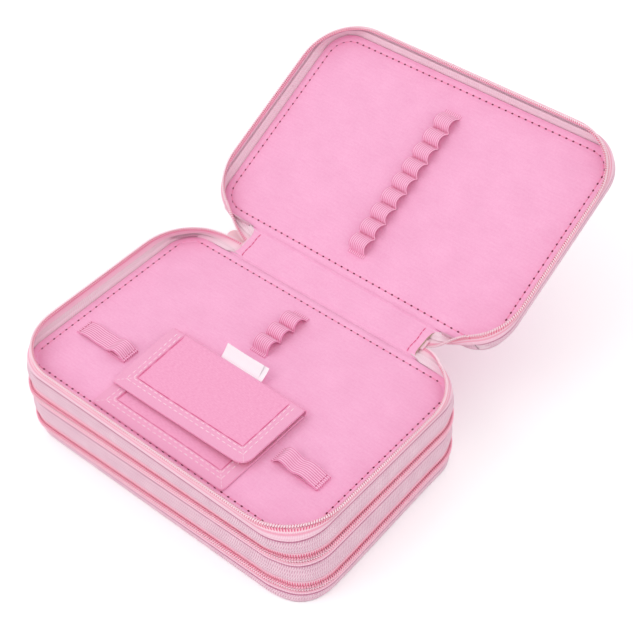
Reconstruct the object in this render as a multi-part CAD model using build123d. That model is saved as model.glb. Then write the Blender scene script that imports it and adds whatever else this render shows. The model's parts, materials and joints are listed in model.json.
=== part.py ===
from build123d import *
import math
import os

# A fabric pencil case of three zipped trays on one long back hinge, with its lid opened.
# The origin is the middle of the flat underside. X runs along the hinge, +Y towards it, +Z up.
# Lengths are in millimetres, angles in degrees.

# Panels: a stiffening board with a sheet of cloth on each face
panel_length = 191.0
panel_depth = 127.4
panel_corner = 16.0
board_thickness = 1.8
sheet_thickness = 0.4
panel_thickness = board_thickness + 2 * sheet_thickness

# Trays: the clear height between two panels, the same in all three
tray_clear = 19.6

# Hinge: spine strips between fold lines that lie just behind the panels
fold_setback = 0.7
fold_clearance = 0.25
fold_y = panel_depth / 2 + fold_setback
spine_length = 123.0
spine_flare = 5.0
spine_sheet = 0.3
spine_board_thickness = 0.9
spine_board_setback = 1.2
spine_thickness = spine_board_thickness + 2 * spine_sheet
lid_fold_angle = 76.7

# Side bands: padded knit round the panel edges, less proud of them at the back
band_bulge = 3.3
band_corner = 24.0
band_upper_bulge = 3.0
band_upper_corner = 25.0
band_lower_bulge = 2.6
band_lower_corner = 26.0
shell_bulge = 2.7
shell_corner = 23.0
band_edge_thickness = 0.9
band_reach_up = 6.4
band_reach_down = 7.4
hem_bulge = 0.5
hem_corner = 16.6
hem_rise_share = 0.5
seat_clearance = 0.15
back_share = 0.5
crown_steps = 3
band_end_gap = 5.5
band_gap = spine_length + 2 * band_end_gap

# Zip halves: a woven tape that stands on the band, and the coil along its free edge
# An opened zip splays outwards, a shut one is drawn in
tape_thickness = 0.7
tape_bend = 7.8
tape_top = 9.3
open_tape_bulge = 2.75
open_tape_corner = 31.5
shut_tape_bulge = 1.3
shut_tape_corner = 30.0
coil_foot = 7.9
coil_thickness = 1.2
coil_seat = 0.05
rim_height = 9.55
slider_bay = 16.0

# Zip ends: the closed stubs of chain at the ends of each spine strip
zip_end_length = 5.2
zip_end_width = 8.0
zip_end_coil_width = 4.0
zip_end_coil_height = 0.9
stub_tape = 0.4
stub_coil = 0.6
stub_sewn_length = 5.0
stub_length = 14.5
stub_inner = spine_length / 2 - stub_length
stub_slot = 0.5

# Sliders: two plates on a thin neck, with a bail for the pull tab
slider_length = 9.0
slider_width = 4.2
slider_plate = 0.8
slider_clearance = 0.3
slider_neck = 0.25
slider_neck_length = 3.0
slider_round = 1.8
bail_length = 3.2
bail_width = 2.2
bail_wall = 0.6
bail_shift = 2.8
pin_height = 1.5
pin_radius = 0.55
pin_clearance = 0.25
bail_height = pin_height + pin_radius + pin_clearance + bail_wall

# Pull tabs: soft rubber with a round head on a narrower neck
tab_thickness = 1.6
tab_neck = 5.6
tab_shoulder = 7.4
tab_shoulder_length = 3.0
tab_head_radius = 5.1
tab_head_at = 11.2
tab_round = 0.8
tab_arm = 0.9
tab_arm_clearance = 0.3
tab_bail_clearance = 0.6
top_tab_lean = 12.0

# Slider places: under the spine for the opened zip, on the left side for the shut ones
top_slider_inset = 4.0
top_slider_x = spine_length / 2 - top_slider_inset
shut_slider_setback = 36.7
shut_slider_y = panel_depth / 2 - shut_slider_setback
stub_lift = slider_plate + 2 * slider_clearance

# Elastic loops
elastic_width = 10.5
elastic_thickness = 0.7
loop_pitch = 10.15
loop_round = 4.4
lid_loop_rise = 6.8
divider_loop_rise = 5.6
strap_loop_rise = 5.2
strap_loop_width = 13.3
strap_flat = 22.0
loop_tail = 2.4
strap_tail = 1.4
loops_x = -1.2
lid_row_start = 16.4
divider_row_start = 18.9
strap_y = -26.0
left_strap_x = -85.3
right_strap_x = 50.9

# Wallet pocket on the upper divider
pocket_x = 1.0
pocket_width = 88.0
pocket_front = 59.2
pocket_sheet = 0.6
pocket_corner = 2.0
binding_width = 8.0
binding_thickness = 0.5
flap_width = 90.0
flap_depth = 44.5
flap_corner = 5.0
flap_fold_radius = 2.0
flap_fold_y = -1.0
flap_fold_lift = 2.8
label_width = 25.0
label_height = 7.6
label_thickness = 0.5
label_lean = 45.0
label_x = 0.2

cut_overrun = 1.0

# Levels, from the floor up; the lid level is where the lid lies when shut
bottom_top = panel_thickness
lower_under = bottom_top + tray_clear
lower_top = lower_under + panel_thickness
upper_under = lower_top + tray_clear
upper_top = upper_under + panel_thickness
lid_under = upper_top + tray_clear
lid_top = lid_under + panel_thickness

# How far left the opened rims stop at the back
bay_left = band_gap / 2 + slider_bay - zip_end_length

parts = {}


def block(low, high):
    """A box between two corners."""
    size = [b - a for a, b in zip(low, high)]
    middle = [(a + b) / 2 for a, b in zip(low, high)]
    return Pos(*middle) * Box(*size)


def slab(length, depth, corner, low, high, middle=(0, 0)):
    """A flat sheet with rounded corners, lying between two levels."""
    outline = Pos(middle[0], middle[1], low) * RectangleRounded(length, depth, corner)
    return extrude(outline, high - low)


# Panels and their sheets


def board(low):
    return slab(panel_length, panel_depth, panel_corner, low, low + board_thickness)


def lining(low):
    """A lining sheet, with the tongue that runs back to the fold line."""
    sheet = slab(panel_length, panel_depth, panel_corner, low, low + sheet_thickness)
    edge = panel_depth / 2
    back = fold_y - fold_clearance
    half = spine_length / 2
    return sheet + block((-half, edge - panel_corner, low), (half, back, low + sheet_thickness))


# Side bands, tapes and coils are rings between two lofts, cut open at the back


def outline(height, bulge, corner):
    """A rounded rectangle that stands out past the panel, less so at the back."""
    back = bulge * back_share
    plan = RectangleRounded(panel_length + 2 * bulge, panel_depth + bulge + back, corner)
    return Pos(0, (back - bulge) / 2, height) * plan


def ring(outer, inner):
    rows = sorted(outer)
    holes = sorted(inner)
    shell = loft([outline(*row) for row in rows], ruled=True)
    hollow = loft([outline(*row) for row in holes], ruled=True)
    return shell - hollow


def back_opening(low, high, left=band_gap / 2):
    """The part of a ring that is cut away behind the panel for the spine."""
    return block(
        (-left, panel_depth / 4, low - cut_overrun),
        (band_gap / 2, panel_depth, high + cut_overrun),
    )


def eased(first, last, share):
    """A section between two others, leaving the first one steeply."""
    turn = math.sin(math.radians(90 * share))
    height = first[0] + (last[0] - first[0]) * share
    return (height, *(a + (b - a) * turn for a, b in zip(first[1:], last[1:])))


def crown(low, widest, high):
    """Sections of a padded band from its low edge over its widest line to its high edge."""
    steps = [step / crown_steps for step in range(crown_steps)]
    rise = [eased(low, widest, share) for share in steps]
    fall = [eased(high, widest, share) for share in steps]
    return rise + [widest] + fall


def within(section, wall):
    """The inner section of a wall of even thickness."""
    height, bulge, corner = section
    return (height, bulge - wall, corner - wall)


def seat(height):
    """Inner section of a band where it hugs the panel edge."""
    return (height, seat_clearance, panel_corner + seat_clearance)


def divider_band(under, top):
    """The band round a divider, reaching above and below it."""
    low = (under - band_reach_down, band_lower_bulge, band_lower_corner)
    high = (top + band_reach_up, band_upper_bulge, band_upper_corner)
    widest = ((low[0] + high[0]) / 2, band_bulge, band_corner)
    wall = band_edge_thickness
    inner = [within(low, wall), seat(under), seat(top), within(high, wall)]
    return ring(crown(low, widest, high), inner) - back_opening(low[0], high[0])


def shell_band(face, top, way):
    """The band round the bottom or the lid, from its outer face inwards."""
    edge = (top + way * band_reach_up, band_upper_bulge, band_upper_corner)
    widest = (face + (edge[0] - face) * hem_rise_share, shell_bulge, shell_corner)
    hem = (face, hem_bulge, hem_corner)
    inner = [seat(face), seat(top), within(edge, band_edge_thickness)]
    return ring(crown(hem, widest, edge), inner) - back_opening(*sorted((face, edge[0])))


def tape_line(reach, foot, splayed):
    """Outer bulge and corner of a tape at a height over its panel."""
    share = min((reach - foot) / (tape_bend - foot), 1)
    start = (band_upper_bulge, band_upper_corner)
    end = (shut_tape_bulge, shut_tape_corner)
    if foot == band_reach_down:
        start = (band_lower_bulge, band_lower_corner)
    if splayed:
        end = (open_tape_bulge, open_tape_corner)
    return [a + (b - a) * share for a, b in zip(start, end)]


def zip_tape(face, way, foot=band_reach_up, splayed=False):
    """The woven tape of one zip half, standing off a panel face."""
    levels = (foot, tape_bend, tape_top)
    outer = [(face + way * reach, *tape_line(reach, foot, splayed)) for reach in levels]
    inner = [within(section, tape_thickness) for section in outer]
    left = bay_left if splayed else band_gap / 2
    return ring(outer, inner) - back_opening(*sorted((outer[0][0], outer[-1][0])), left)


def zip_coil(face, way, foot=band_reach_up, splayed=False):
    """The coil of one zip half, outside the free edge of its tape."""
    ends = (coil_foot, rim_height)
    inner = [(face + way * reach, *tape_line(reach, foot, splayed)) for reach in ends]
    inner = [within(section, -coil_seat) for section in inner]
    outer = [within(section, -coil_thickness) for section in inner]
    left = bay_left if splayed else band_gap / 2
    return ring(outer, inner) - back_opening(*sorted((inner[0][0], inner[1][0])), left)


# Spine strips, modelled standing upright behind a shut tray


def spine_sheet_solid(foot, near, far, start):
    """A flared upright sheet of the spine; start is its clearance to the fold lines."""
    low = foot + start
    high = foot + tray_clear - start
    half = spine_length / 2
    flare = spine_flare - start
    wide = half + flare
    bend = flare * math.sqrt(0.5)
    corners = []
    for side in (1, -1):
        for end, way in ((low, 1), (high, -1)):
            tip = (side * wide, end)
            mid = (side * (wide - bend), end + way * (flare - bend))
            root = (side * half, end + way * flare)
            corners.append((tip, mid, root))
    right_low, right_high, left_low, left_high = corners
    edges = [
        Line(left_low[0], right_low[0]),
        ThreePointArc(*right_low),
        Line(right_low[2], right_high[2]),
        ThreePointArc(right_high[2], right_high[1], right_high[0]),
        Line(right_high[0], left_high[0]),
        ThreePointArc(*left_high),
        Line(left_high[2], left_low[2]),
        ThreePointArc(left_low[2], left_low[1], left_low[0]),
    ]
    upright = Plane((0, near, 0), x_dir=(1, 0, 0), z_dir=(0, -1, 0))
    return extrude(upright * make_face(edges), near - far)


def spine_board(foot):
    near = fold_y + spine_sheet
    far = near + spine_board_thickness
    half = spine_length / 2 - spine_board_setback
    low = foot + spine_board_setback
    return block((-half, near, low), (half, far, low + tray_clear - 2 * spine_board_setback))


def zip_end(foot, side):
    """A short closed end of chain, sewn to one end of a spine strip."""
    middle = foot + tray_clear / 2
    start = spine_length / 2
    end = start + zip_end_length
    left, right = sorted((side * start, side * end))
    tape = block(
        (left, fold_y, middle - zip_end_width / 2),
        (right, fold_y + spine_thickness, middle + zip_end_width / 2),
    )
    coil = block(
        (left, fold_y + spine_thickness, middle - zip_end_coil_width / 2),
        (right, fold_y + spine_thickness + zip_end_coil_height, middle + zip_end_coil_width / 2),
    )
    return tape + coil


def raised_zip_end(foot):
    """The left end of the top zip: a stub of chain that stands off the spine, for the slider."""
    middle = foot + tray_clear / 2
    inner = -stub_inner
    outer = -spine_length / 2 - zip_end_length
    sewn = inner - stub_sewn_length
    face = fold_y + spine_thickness
    tape = face + stub_lift
    coil = tape + stub_tape
    half = zip_end_width / 2
    half_coil = zip_end_coil_width / 2
    solid = block((sewn, face, middle - half), (inner, coil, middle + half))
    solid += block((outer, tape, middle - half), (sewn, coil, middle + half))
    solid += block((outer, coil, middle - half_coil), (inner, coil + stub_coil, middle + half_coil))
    slot = block(
        (outer - cut_overrun, tape - cut_overrun, middle - stub_slot / 2),
        (sewn, coil + stub_coil + cut_overrun, middle + stub_slot / 2),
    )
    return solid - slot


def spine(name, foot):
    parts[name + "_spine_lining"] = spine_sheet_solid(
        foot, fold_y, fold_y + spine_sheet, fold_clearance
    )
    parts[name + "_spine_board"] = spine_board(foot)
    parts[name + "_spine_cover"] = spine_sheet_solid(
        foot, fold_y + spine_thickness - spine_sheet, fold_y + spine_thickness, spine_board_setback
    )
    left = raised_zip_end(foot) if name == "top" else zip_end(foot, -1)
    parts[name + "_zip_ends"] = Compound(children=[left, zip_end(foot, 1)])


# Sliders and pull tabs, modelled flat: X along the zip, Y across it, Z outwards from the chain


def slider(gap):
    """Two plates held apart by a thin neck between the zip halves, with the bail on top."""
    half_gap = gap / 2
    top = half_gap + slider_plate
    outer = slab(slider_length, slider_width, slider_round, half_gap, top)
    inner = slab(slider_length, slider_width, slider_round, -top, -half_gap)
    nose = slider_length / 2 - slider_round
    neck = block(
        (nose - slider_neck_length, -slider_neck / 2, -half_gap - slider_plate / 2),
        (nose, slider_neck / 2, half_gap + slider_plate / 2),
    )
    upright = Plane((bail_shift, bail_width / 2, top), x_dir=(1, 0, 0), z_dir=(0, -1, 0))
    profile = RectangleRounded(bail_length, 2 * bail_height, bail_length / 2 - pin_clearance)
    bail = extrude(upright * profile, bail_width)
    below = block((-slider_length, -slider_width, -bail_height), (slider_length, slider_width, top))
    hole = Cylinder(pin_radius + pin_clearance, 2 * bail_width, rotation=(90, 0, 0))
    return outer + inner + neck + (bail - below - Pos(bail_shift, 0, top + pin_height) * hole)


def pin_level(gap):
    """How far the pin lies out from the middle of the chain."""
    return gap / 2 + slider_plate + pin_height


def pull_tab():
    """A tab with a round head; its pin lies on the Y axis and it reaches out along +X."""
    start = bail_length / 2 + tab_bail_clearance
    head = Pos(tab_head_at, 0) * Circle(tab_head_radius)
    neck = Pos((start + tab_head_at) / 2, 0) * Rectangle(tab_head_at - start, tab_neck)
    shoulder_at = tab_head_at - tab_head_radius
    shoulder = Pos(shoulder_at, 0) * RectangleRounded(tab_shoulder_length, tab_shoulder, tab_round)
    tab = extrude(Pos(0, 0, -tab_thickness / 2) * (head + neck + shoulder), tab_thickness)
    half = tab_thickness / 2
    near = bail_width / 2 + tab_arm_clearance
    for side in (1, -1):
        low, high = sorted((side * near, side * (near + tab_arm)))
        arm = block((0, low, -half), (start + tab_arm, high, half))
        tab += arm + Pos(0, (low + high) / 2, 0) * Cylinder(half, tab_arm, rotation=(90, 0, 0))
    return tab + Cylinder(pin_radius, 2 * near + tab_arm, rotation=(90, 0, 0))


# Elastic strips with loops, modelled as a row along X, standing up from a face at zero


def loop_row(start, widths, rise, first_tail, last_tail):
    """A strip of elastic: flat tails, and loops of the given widths; zero rise means flat."""
    length = first_tail + sum(width for width, _ in widths) + last_tail
    flat = Pos(start + length / 2, elastic_thickness / 2) * Rectangle(length, elastic_thickness)
    shape = flat
    holes = []
    place = start + first_tail
    for width, looped in widths:
        middle = Pos(place + width / 2, 0)
        if looped:
            shape += middle * RectangleRounded(width, 2 * rise, loop_round)
            wall = 2 * elastic_thickness
            inner_round = loop_round - elastic_thickness
            holes.append(middle * RectangleRounded(width - wall, 2 * rise - wall, inner_round))
        place += width
    for hole in holes:
        shape -= hole
    below = Pos(start + length / 2, -rise) * Rectangle(2 * length, 2 * rise)
    shape -= below
    upright = Plane((0, elastic_width / 2, 0), x_dir=(1, 0, 0), z_dir=(0, -1, 0))
    return extrude(upright * shape, elastic_width)


# Wallet pocket


def bindings(width, depth, front, level):
    """Binding along the left, front and right edges of a sheet whose front edge is given."""
    outer = block(
        (pocket_x - width / 2, front, level),
        (pocket_x + width / 2, front + depth, level + binding_thickness),
    )
    inner = block(
        (pocket_x - width / 2 + binding_width, front + binding_width, level - cut_overrun),
        (
            pocket_x + width / 2 - binding_width,
            front + depth + cut_overrun,
            level + binding_thickness + cut_overrun,
        ),
    )
    return outer - inner


def rounded_front(solid, front, radius):
    """Round the two upright corners at the front of a pocket piece."""
    corners = [
        edge
        for edge in solid.edges().filter_by(Axis.Z)
        if abs(edge.center().Y - front) < radius / 2
    ]
    return fillet(corners, radius)


def flap(level):
    """The folded flap: a flat sheet that rolls down at its back round the fold line."""
    axis_z = level + flap_fold_lift
    front = -flap_depth
    top = axis_z + flap_fold_radius
    sheet = block(
        (pocket_x - flap_width / 2, front, top - pocket_sheet),
        (pocket_x + flap_width / 2, flap_fold_y, top),
    )
    sheet = rounded_front(sheet, front, flap_corner)
    roll = Pos(pocket_x, flap_fold_y, axis_z) * Rot(0, 90, 0) * (
        Cylinder(flap_fold_radius, flap_width)
        - Cylinder(flap_fold_radius - pocket_sheet, 2 * flap_width)
    )
    ahead = block(
        (-panel_length, flap_fold_y - panel_depth, level),
        (panel_length, flap_fold_y, top + cut_overrun),
    )
    return sheet + (roll - ahead)


# The bottom shell

parts["bottom_cover"] = slab(panel_length, panel_depth, panel_corner, 0, sheet_thickness)
parts["bottom_board"] = board(sheet_thickness)
parts["bottom_lining"] = lining(bottom_top - sheet_thickness)
parts["bottom_side_band"] = shell_band(0, bottom_top, 1)
parts["bottom_zip_lower_tape"] = zip_tape(bottom_top, 1)
parts["bottom_zip_lower_coil"] = zip_coil(bottom_top, 1)

# The lower divider

parts["lower_divider_under_lining"] = lining(lower_under)
parts["lower_divider_board"] = board(lower_under + sheet_thickness)
parts["lower_divider_top_lining"] = lining(lower_top - sheet_thickness)
parts["lower_divider_side_band"] = divider_band(lower_under, lower_top)
parts["bottom_zip_upper_tape"] = zip_tape(lower_under, -1, foot=band_reach_down)
parts["bottom_zip_upper_coil"] = zip_coil(lower_under, -1, foot=band_reach_down)
parts["middle_zip_lower_tape"] = zip_tape(lower_top, 1)
parts["middle_zip_lower_coil"] = zip_coil(lower_top, 1)

# The upper divider; its band stops short at the left back corner, where the top slider parks

parts["upper_divider_under_lining"] = lining(upper_under)
parts["upper_divider_board"] = board(upper_under + sheet_thickness)
parts["upper_divider_top_lining"] = lining(upper_top - sheet_thickness)
parts["upper_divider_side_band"] = divider_band(upper_under, upper_top) - back_opening(
    upper_top + cut_overrun, lid_under, bay_left
)
parts["middle_zip_upper_tape"] = zip_tape(upper_under, -1, foot=band_reach_down)
parts["middle_zip_upper_coil"] = zip_coil(upper_under, -1, foot=band_reach_down)
parts["top_zip_lower_tape"] = zip_tape(upper_top, 1, splayed=True)
parts["top_zip_lower_coil"] = zip_coil(upper_top, 1, splayed=True)

three_loops = [(loop_pitch, True)] * 3
row = loop_row(divider_row_start - loop_tail, three_loops, divider_loop_rise, loop_tail, loop_tail)
parts["three_loop_elastic"] = Pos(loops_x, 0, upper_top) * Rot(0, 0, 90) * row

left_widths = [(strap_flat, False), (loop_pitch, True)]
row = loop_row(left_strap_x, left_widths, strap_loop_rise, strap_tail, strap_tail)
parts["left_elastic"] = Pos(0, strap_y, upper_top) * row

right_widths = [(strap_loop_width, True)] * 2
row = loop_row(right_strap_x, right_widths, strap_loop_rise, strap_tail, strap_tail)
parts["right_elastic"] = Pos(0, strap_y, upper_top) * row

pocket_depth = pocket_front + flap_fold_y - flap_fold_radius
pocket = block(
    (pocket_x - pocket_width / 2, -pocket_front, upper_top),
    (pocket_x + pocket_width / 2, -pocket_front + pocket_depth, upper_top + pocket_sheet),
)
parts["pocket_base"] = rounded_front(pocket, -pocket_front, pocket_corner)
edging = bindings(pocket_width, pocket_depth, -pocket_front, upper_top + pocket_sheet)
parts["pocket_base_binding"] = rounded_front(edging, -pocket_front, pocket_corner)

label_foot = upper_top + flap_fold_lift / 2
label = block((-label_width / 2, 0, 0), (label_width / 2, label_height + flap_fold_radius, label_thickness))
label_place = Pos(pocket_x + label_x, flap_fold_y + flap_fold_radius, label_foot)
foot_block = block(
    (pocket_x + label_x - label_width / 2, flap_fold_y + flap_fold_radius + label_thickness, upper_top),
    (
        pocket_x + label_x + label_width / 2,
        flap_fold_y + flap_fold_radius + 3 * label_thickness,
        label_foot + label_thickness,
    ),
)
parts["care_label"] = label_place * Pos(0, label_thickness, 0) * Rot(label_lean, 0, 0) * label + foot_block

# The flap

parts["pocket_flap"] = flap(upper_top)
flap_top = upper_top + flap_fold_lift + flap_fold_radius
edging = bindings(flap_width, flap_depth + flap_fold_y, -flap_depth, flap_top)
parts["pocket_flap_binding"] = rounded_front(edging, -flap_depth, flap_corner)

# The spines

spine("bottom", bottom_top)
spine("middle", lower_top)
spine("top", upper_top)

# The lid, modelled shut

parts["lid_lining"] = lining(lid_under)
parts["lid_board"] = board(lid_under + sheet_thickness)
parts["lid_cover"] = slab(panel_length, panel_depth, panel_corner, lid_top - sheet_thickness, lid_top)
parts["lid_side_band"] = shell_band(lid_top, lid_under, -1) - back_opening(
    upper_top, lid_under - cut_overrun, bay_left
)
parts["top_zip_upper_tape"] = zip_tape(lid_under, -1, splayed=True)
parts["top_zip_upper_coil"] = zip_coil(lid_under, -1, splayed=True)
nine_loops = [(loop_pitch, True)] * 9
row = loop_row(lid_row_start - loop_tail, nine_loops, lid_loop_rise, loop_tail, loop_tail)
parts["nine_loop_elastic"] = (
    Pos(loops_x, fold_y, lid_under) * Rot(180, 0, 0) * Rot(0, 0, 90) * row
)

# Sliders and tabs, placed on their zips

zip_middle = tray_clear / 2
stub_gap = stub_tape + stub_coil + 2 * slider_clearance
stub_middle = fold_y + spine_thickness + stub_lift + (stub_tape + stub_coil) / 2
place = Pos(-top_slider_x, stub_middle, upper_top + zip_middle) * Rot(-90, 0, 180)
parts["top_zip_slider"] = place * slider(stub_gap)
lean = Pos(bail_shift, 0, pin_level(stub_gap)) * Rot(0, top_tab_lean, 0)
parts["top_zip_tab"] = place * lean * pull_tab()

rim_inside = shut_tape_bulge - tape_thickness
rim_outside = shut_tape_bulge + coil_seat + coil_thickness
rim_gap = rim_outside - rim_inside + 2 * slider_clearance
side_x = panel_length / 2 + (rim_outside + rim_inside) / 2
for name, level in (("middle", lower_top), ("bottom", bottom_top)):
    place = Pos(-side_x, shut_slider_y, level + zip_middle) * Rot(0, -90, 0) * Rot(0, 0, -90)
    parts[name + "_zip_slider"] = place * slider(rim_gap)
    parts[name + "_zip_tab"] = place * Pos(bail_shift, 0, pin_level(rim_gap)) * pull_tab()

# Open the lid and the top spine to where the photograph shows them


def folded(level):
    """A turn backwards about the fold line at a level."""
    return Pos(0, fold_y, level) * Rot(-lid_fold_angle, 0, 0) * Pos(0, -fold_y, -level)


on_spine = ("top_spine_lining", "top_spine_board", "top_spine_cover", "top_zip_ends")
on_spine += ("top_zip_slider", "top_zip_tab")
on_lid = ("lid_lining", "lid_board", "lid_cover", "lid_side_band")
on_lid += ("top_zip_upper_tape", "top_zip_upper_coil", "nine_loop_elastic")
for name in on_spine:
    parts[name] = folded(upper_top) * parts[name]
for name in on_lid:
    parts[name] = folded(upper_top) * folded(lid_under) * parts[name]

os.makedirs("parts", exist_ok=True)
for name, shape in parts.items():
    export_step(shape, "parts/" + name + ".step")
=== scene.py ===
# A pink cloth pencil case of three zipped trays, with its lid laid back and its top tray open.
# Lengths are in millimetres, in the row frame, until a mesh is made; angles are in degrees.
import math

import bmesh
import bpy
import numpy as np
from mathutils import Euler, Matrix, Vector
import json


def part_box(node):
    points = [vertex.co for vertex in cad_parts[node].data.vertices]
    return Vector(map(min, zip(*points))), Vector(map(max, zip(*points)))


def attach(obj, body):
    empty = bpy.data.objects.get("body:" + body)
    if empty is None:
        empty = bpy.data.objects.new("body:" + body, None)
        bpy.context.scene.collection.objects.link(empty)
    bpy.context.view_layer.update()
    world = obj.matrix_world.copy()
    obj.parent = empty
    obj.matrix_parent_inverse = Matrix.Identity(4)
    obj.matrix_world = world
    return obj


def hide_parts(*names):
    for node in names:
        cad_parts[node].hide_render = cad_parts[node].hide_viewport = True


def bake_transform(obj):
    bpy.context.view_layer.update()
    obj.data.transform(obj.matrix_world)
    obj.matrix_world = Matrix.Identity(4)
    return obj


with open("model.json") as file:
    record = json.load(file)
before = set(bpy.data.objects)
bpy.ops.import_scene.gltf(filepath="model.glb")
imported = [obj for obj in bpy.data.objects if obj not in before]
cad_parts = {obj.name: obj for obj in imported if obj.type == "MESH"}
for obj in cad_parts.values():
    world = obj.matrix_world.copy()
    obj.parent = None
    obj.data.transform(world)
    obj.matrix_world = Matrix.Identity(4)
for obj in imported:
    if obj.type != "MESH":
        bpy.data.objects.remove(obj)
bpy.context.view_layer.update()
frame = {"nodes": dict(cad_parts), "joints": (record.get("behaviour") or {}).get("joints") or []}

# The stiffening boards: buff pressed board inside every panel, and thin strips of it inside the
# spines. They lie wrapped in cloth, and only their cut edges show, at the ends of the hinge.

METRES = 0.001


def srgb(red, green, blue):
    """A screen colour from 0 to 255 as the linear colour that a shader takes."""
    linear = []
    for value in (red, green, blue):
        share = value / 255
        linear.append(share / 12.92 if share <= 0.04045 else ((share + 0.055) / 1.055) ** 2.4)
    return (*linear, 1.0)


class Finish:
    """A node material, with short ways to add nodes. Its places are a piece's own cloth map."""

    def __init__(self, name, roughness, **sockets):
        self.material = bpy.data.materials.new(name)
        self.material.use_nodes = True
        self.tree = self.material.node_tree
        self.shader = self.tree.nodes["Principled BSDF"]
        self.shader.inputs["Roughness"].default_value = roughness
        self.shader.inputs["Specular IOR Level"].default_value = 0.3
        for socket, value in sockets.items():
            self.shader.inputs[socket.replace("_", " ")].default_value = value
        self.place = self.node("UVMap", {}, uv_map="cloth").outputs["UV"]
        split = self.node("SeparateXYZ", {"Vector": self.place})
        self.along, self.across = split.outputs["X"], split.outputs["Y"]

    def node(self, kind, inputs, **settings):
        """A shader node with its settings, each input linked or set."""
        node = self.tree.nodes.new("ShaderNode" + kind)
        for key, value in settings.items():
            setattr(node, key, value)
        for key, value in inputs.items():
            if isinstance(value, bpy.types.NodeSocket):
                self.tree.links.new(value, node.inputs[key])
            else:
                node.inputs[key].default_value = value
        return node

    def sum_of(self, operation, first, second=0.0, third=0.0):
        """The result of one arithmetic node."""
        inputs = {0: first, 1: second, 2: third}
        return self.node("Math", inputs, operation=operation).outputs[0]

    def ripple(self, place, pitch, shift=0.0):
        """A wave from 0 to 1 with this pitch."""
        turn = self.sum_of("MULTIPLY_ADD", place, 2 * math.pi / pitch, shift)
        wave = self.sum_of("SINE", turn)
        return self.sum_of("MULTIPLY_ADD", wave, 0.5, 0.5)

    def rise(self, place, start, end):
        """From 0 before the start to 1 after the end."""
        inputs = {"Value": place, "From Min": start, "From Max": end}
        return self.node("MapRange", inputs).outputs[0]

    def mottle(self, size, detail=2.0, stretch=1.0):
        """Soft noise from 0 to 1 whose patches have about this size."""
        scaled = self.node("Mapping", {"Vector": self.place, "Scale": (stretch / size, 1 / size, 1.0)})
        noise = self.node("TexNoise", {"Vector": scaled.outputs[0], "Scale": 1.0, "Detail": detail})
        return noise.outputs[0]

    def ramp(self, factor, *stops):
        """A colour read from stops of (place, colour)."""
        node = self.node("ValToRGB", {"Fac": factor})
        stops = sorted(stops)
        ends = node.color_ramp.elements
        ends[0].position, ends[0].color = stops[0]
        ends[1].position, ends[1].color = stops[-1]
        for place, shade in stops[1:-1]:
            ends.new(place).color = shade
        return node.outputs["Color"]

    def blend(self, factor, first, second, way="MIX"):
        """Two colours mixed by a factor."""
        node = self.node("Mix", {0: factor, 6: first, 7: second}, data_type="RGBA", blend_type=way)
        return node.outputs[2]

    def paint(self, colour):
        self.tree.links.new(colour, self.shader.inputs["Base Color"])

    def mottled(self, size, dark, light, low=0.3, high=0.7):
        """Paints soft patches of two shades, given as screen colours."""
        self.paint(self.ramp(self.mottle(size), (low, srgb(*dark)), (high, srgb(*light))))

    def emboss(self, height, depth):
        """Relief of this depth in millimetres."""
        inputs = {"Height": height, "Distance": depth * METRES, "Strength": 1.0}
        bump = self.node("Bump", inputs)
        self.tree.links.new(bump.outputs[0], self.shader.inputs["Normal"])


board_finish = Finish("pressed_board", 0.9)
grain = board_finish.mottle(0.5, 4.0)
board_finish.paint(board_finish.ramp(grain, (0.3, srgb(176, 164, 138)), (0.7, srgb(204, 192, 166))))
board_finish.emboss(grain, 0.1)


def node_box(name):
    """Lowest and highest corner of a node, in millimetres."""
    return [[c / METRES for c in corner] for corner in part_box(name)]


def cover_map(mesh):
    """A cloth map in millimetres for a node, read along the two widest ways of its box."""
    places = np.array([v.co for v in mesh.vertices]) / METRES
    first, second = np.argsort(-np.ptp(places, axis=0))[:2]
    layer = mesh.uv_layers.new(name="cloth")
    for loop in mesh.loops:
        layer.uv[loop.index].vector = places[loop.vertex_index][[first, second]]


for name, node in frame["nodes"].items():
    if name.endswith("_board"):
        cover_map(node.data)
        node.data.materials.clear()
        node.data.materials.append(board_finish.material)

# Lining cloth: a thin, matt, fine-woven sheet over each face of a panel, drawn down along its
# stitching and a hair short of the board's edge; its tongue at the back runs on to the hinge.

half_length, half_depth = node_box("upper_divider_board")[1][:2]
bottom_top = node_box("bottom_lining")[1][2]
lower_under = node_box("lower_divider_under_lining")[0][2]
lower_top = node_box("lower_divider_top_lining")[1][2]
upper_under = node_box("upper_divider_under_lining")[0][2]
upper_top = node_box("upper_divider_top_lining")[1][2]
tray_clear = upper_under - lower_top
lid_under = upper_top + tray_clear
lid_top = lid_under + (upper_top - upper_under)

folds = {joint["name"]: joint for joint in frame["joints"]}
fold_y = folds["lid_fold"]["pos_m"][1] / METRES
strip_way = np.array(folds["lid_lift"]["pos_m"]) - np.array(folds["lid_fold"]["pos_m"])
lid_turn = math.degrees(math.atan2(strip_way[1], strip_way[2]))


def turned_back(points, level):
    """Points turned back about the fold line at a level, by the angle of one fold."""
    turn = math.radians(-lid_turn)
    points = np.array(points, float)
    y, z = points[..., 1] - fold_y, points[..., 2] - level
    points[..., 1] = fold_y + y * math.cos(turn) - z * math.sin(turn)
    points[..., 2] = level + y * math.sin(turn) + z * math.cos(turn)
    return points


def opened(points, body):
    """Points of a piece that is laid out shut, moved to where the opened case has them."""
    if body == "lid":
        points = turned_back(points, lid_under)
    if body in ("lid", "top_spine"):
        points = turned_back(points, upper_top)
    return points


same_place = 1e-7


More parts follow.
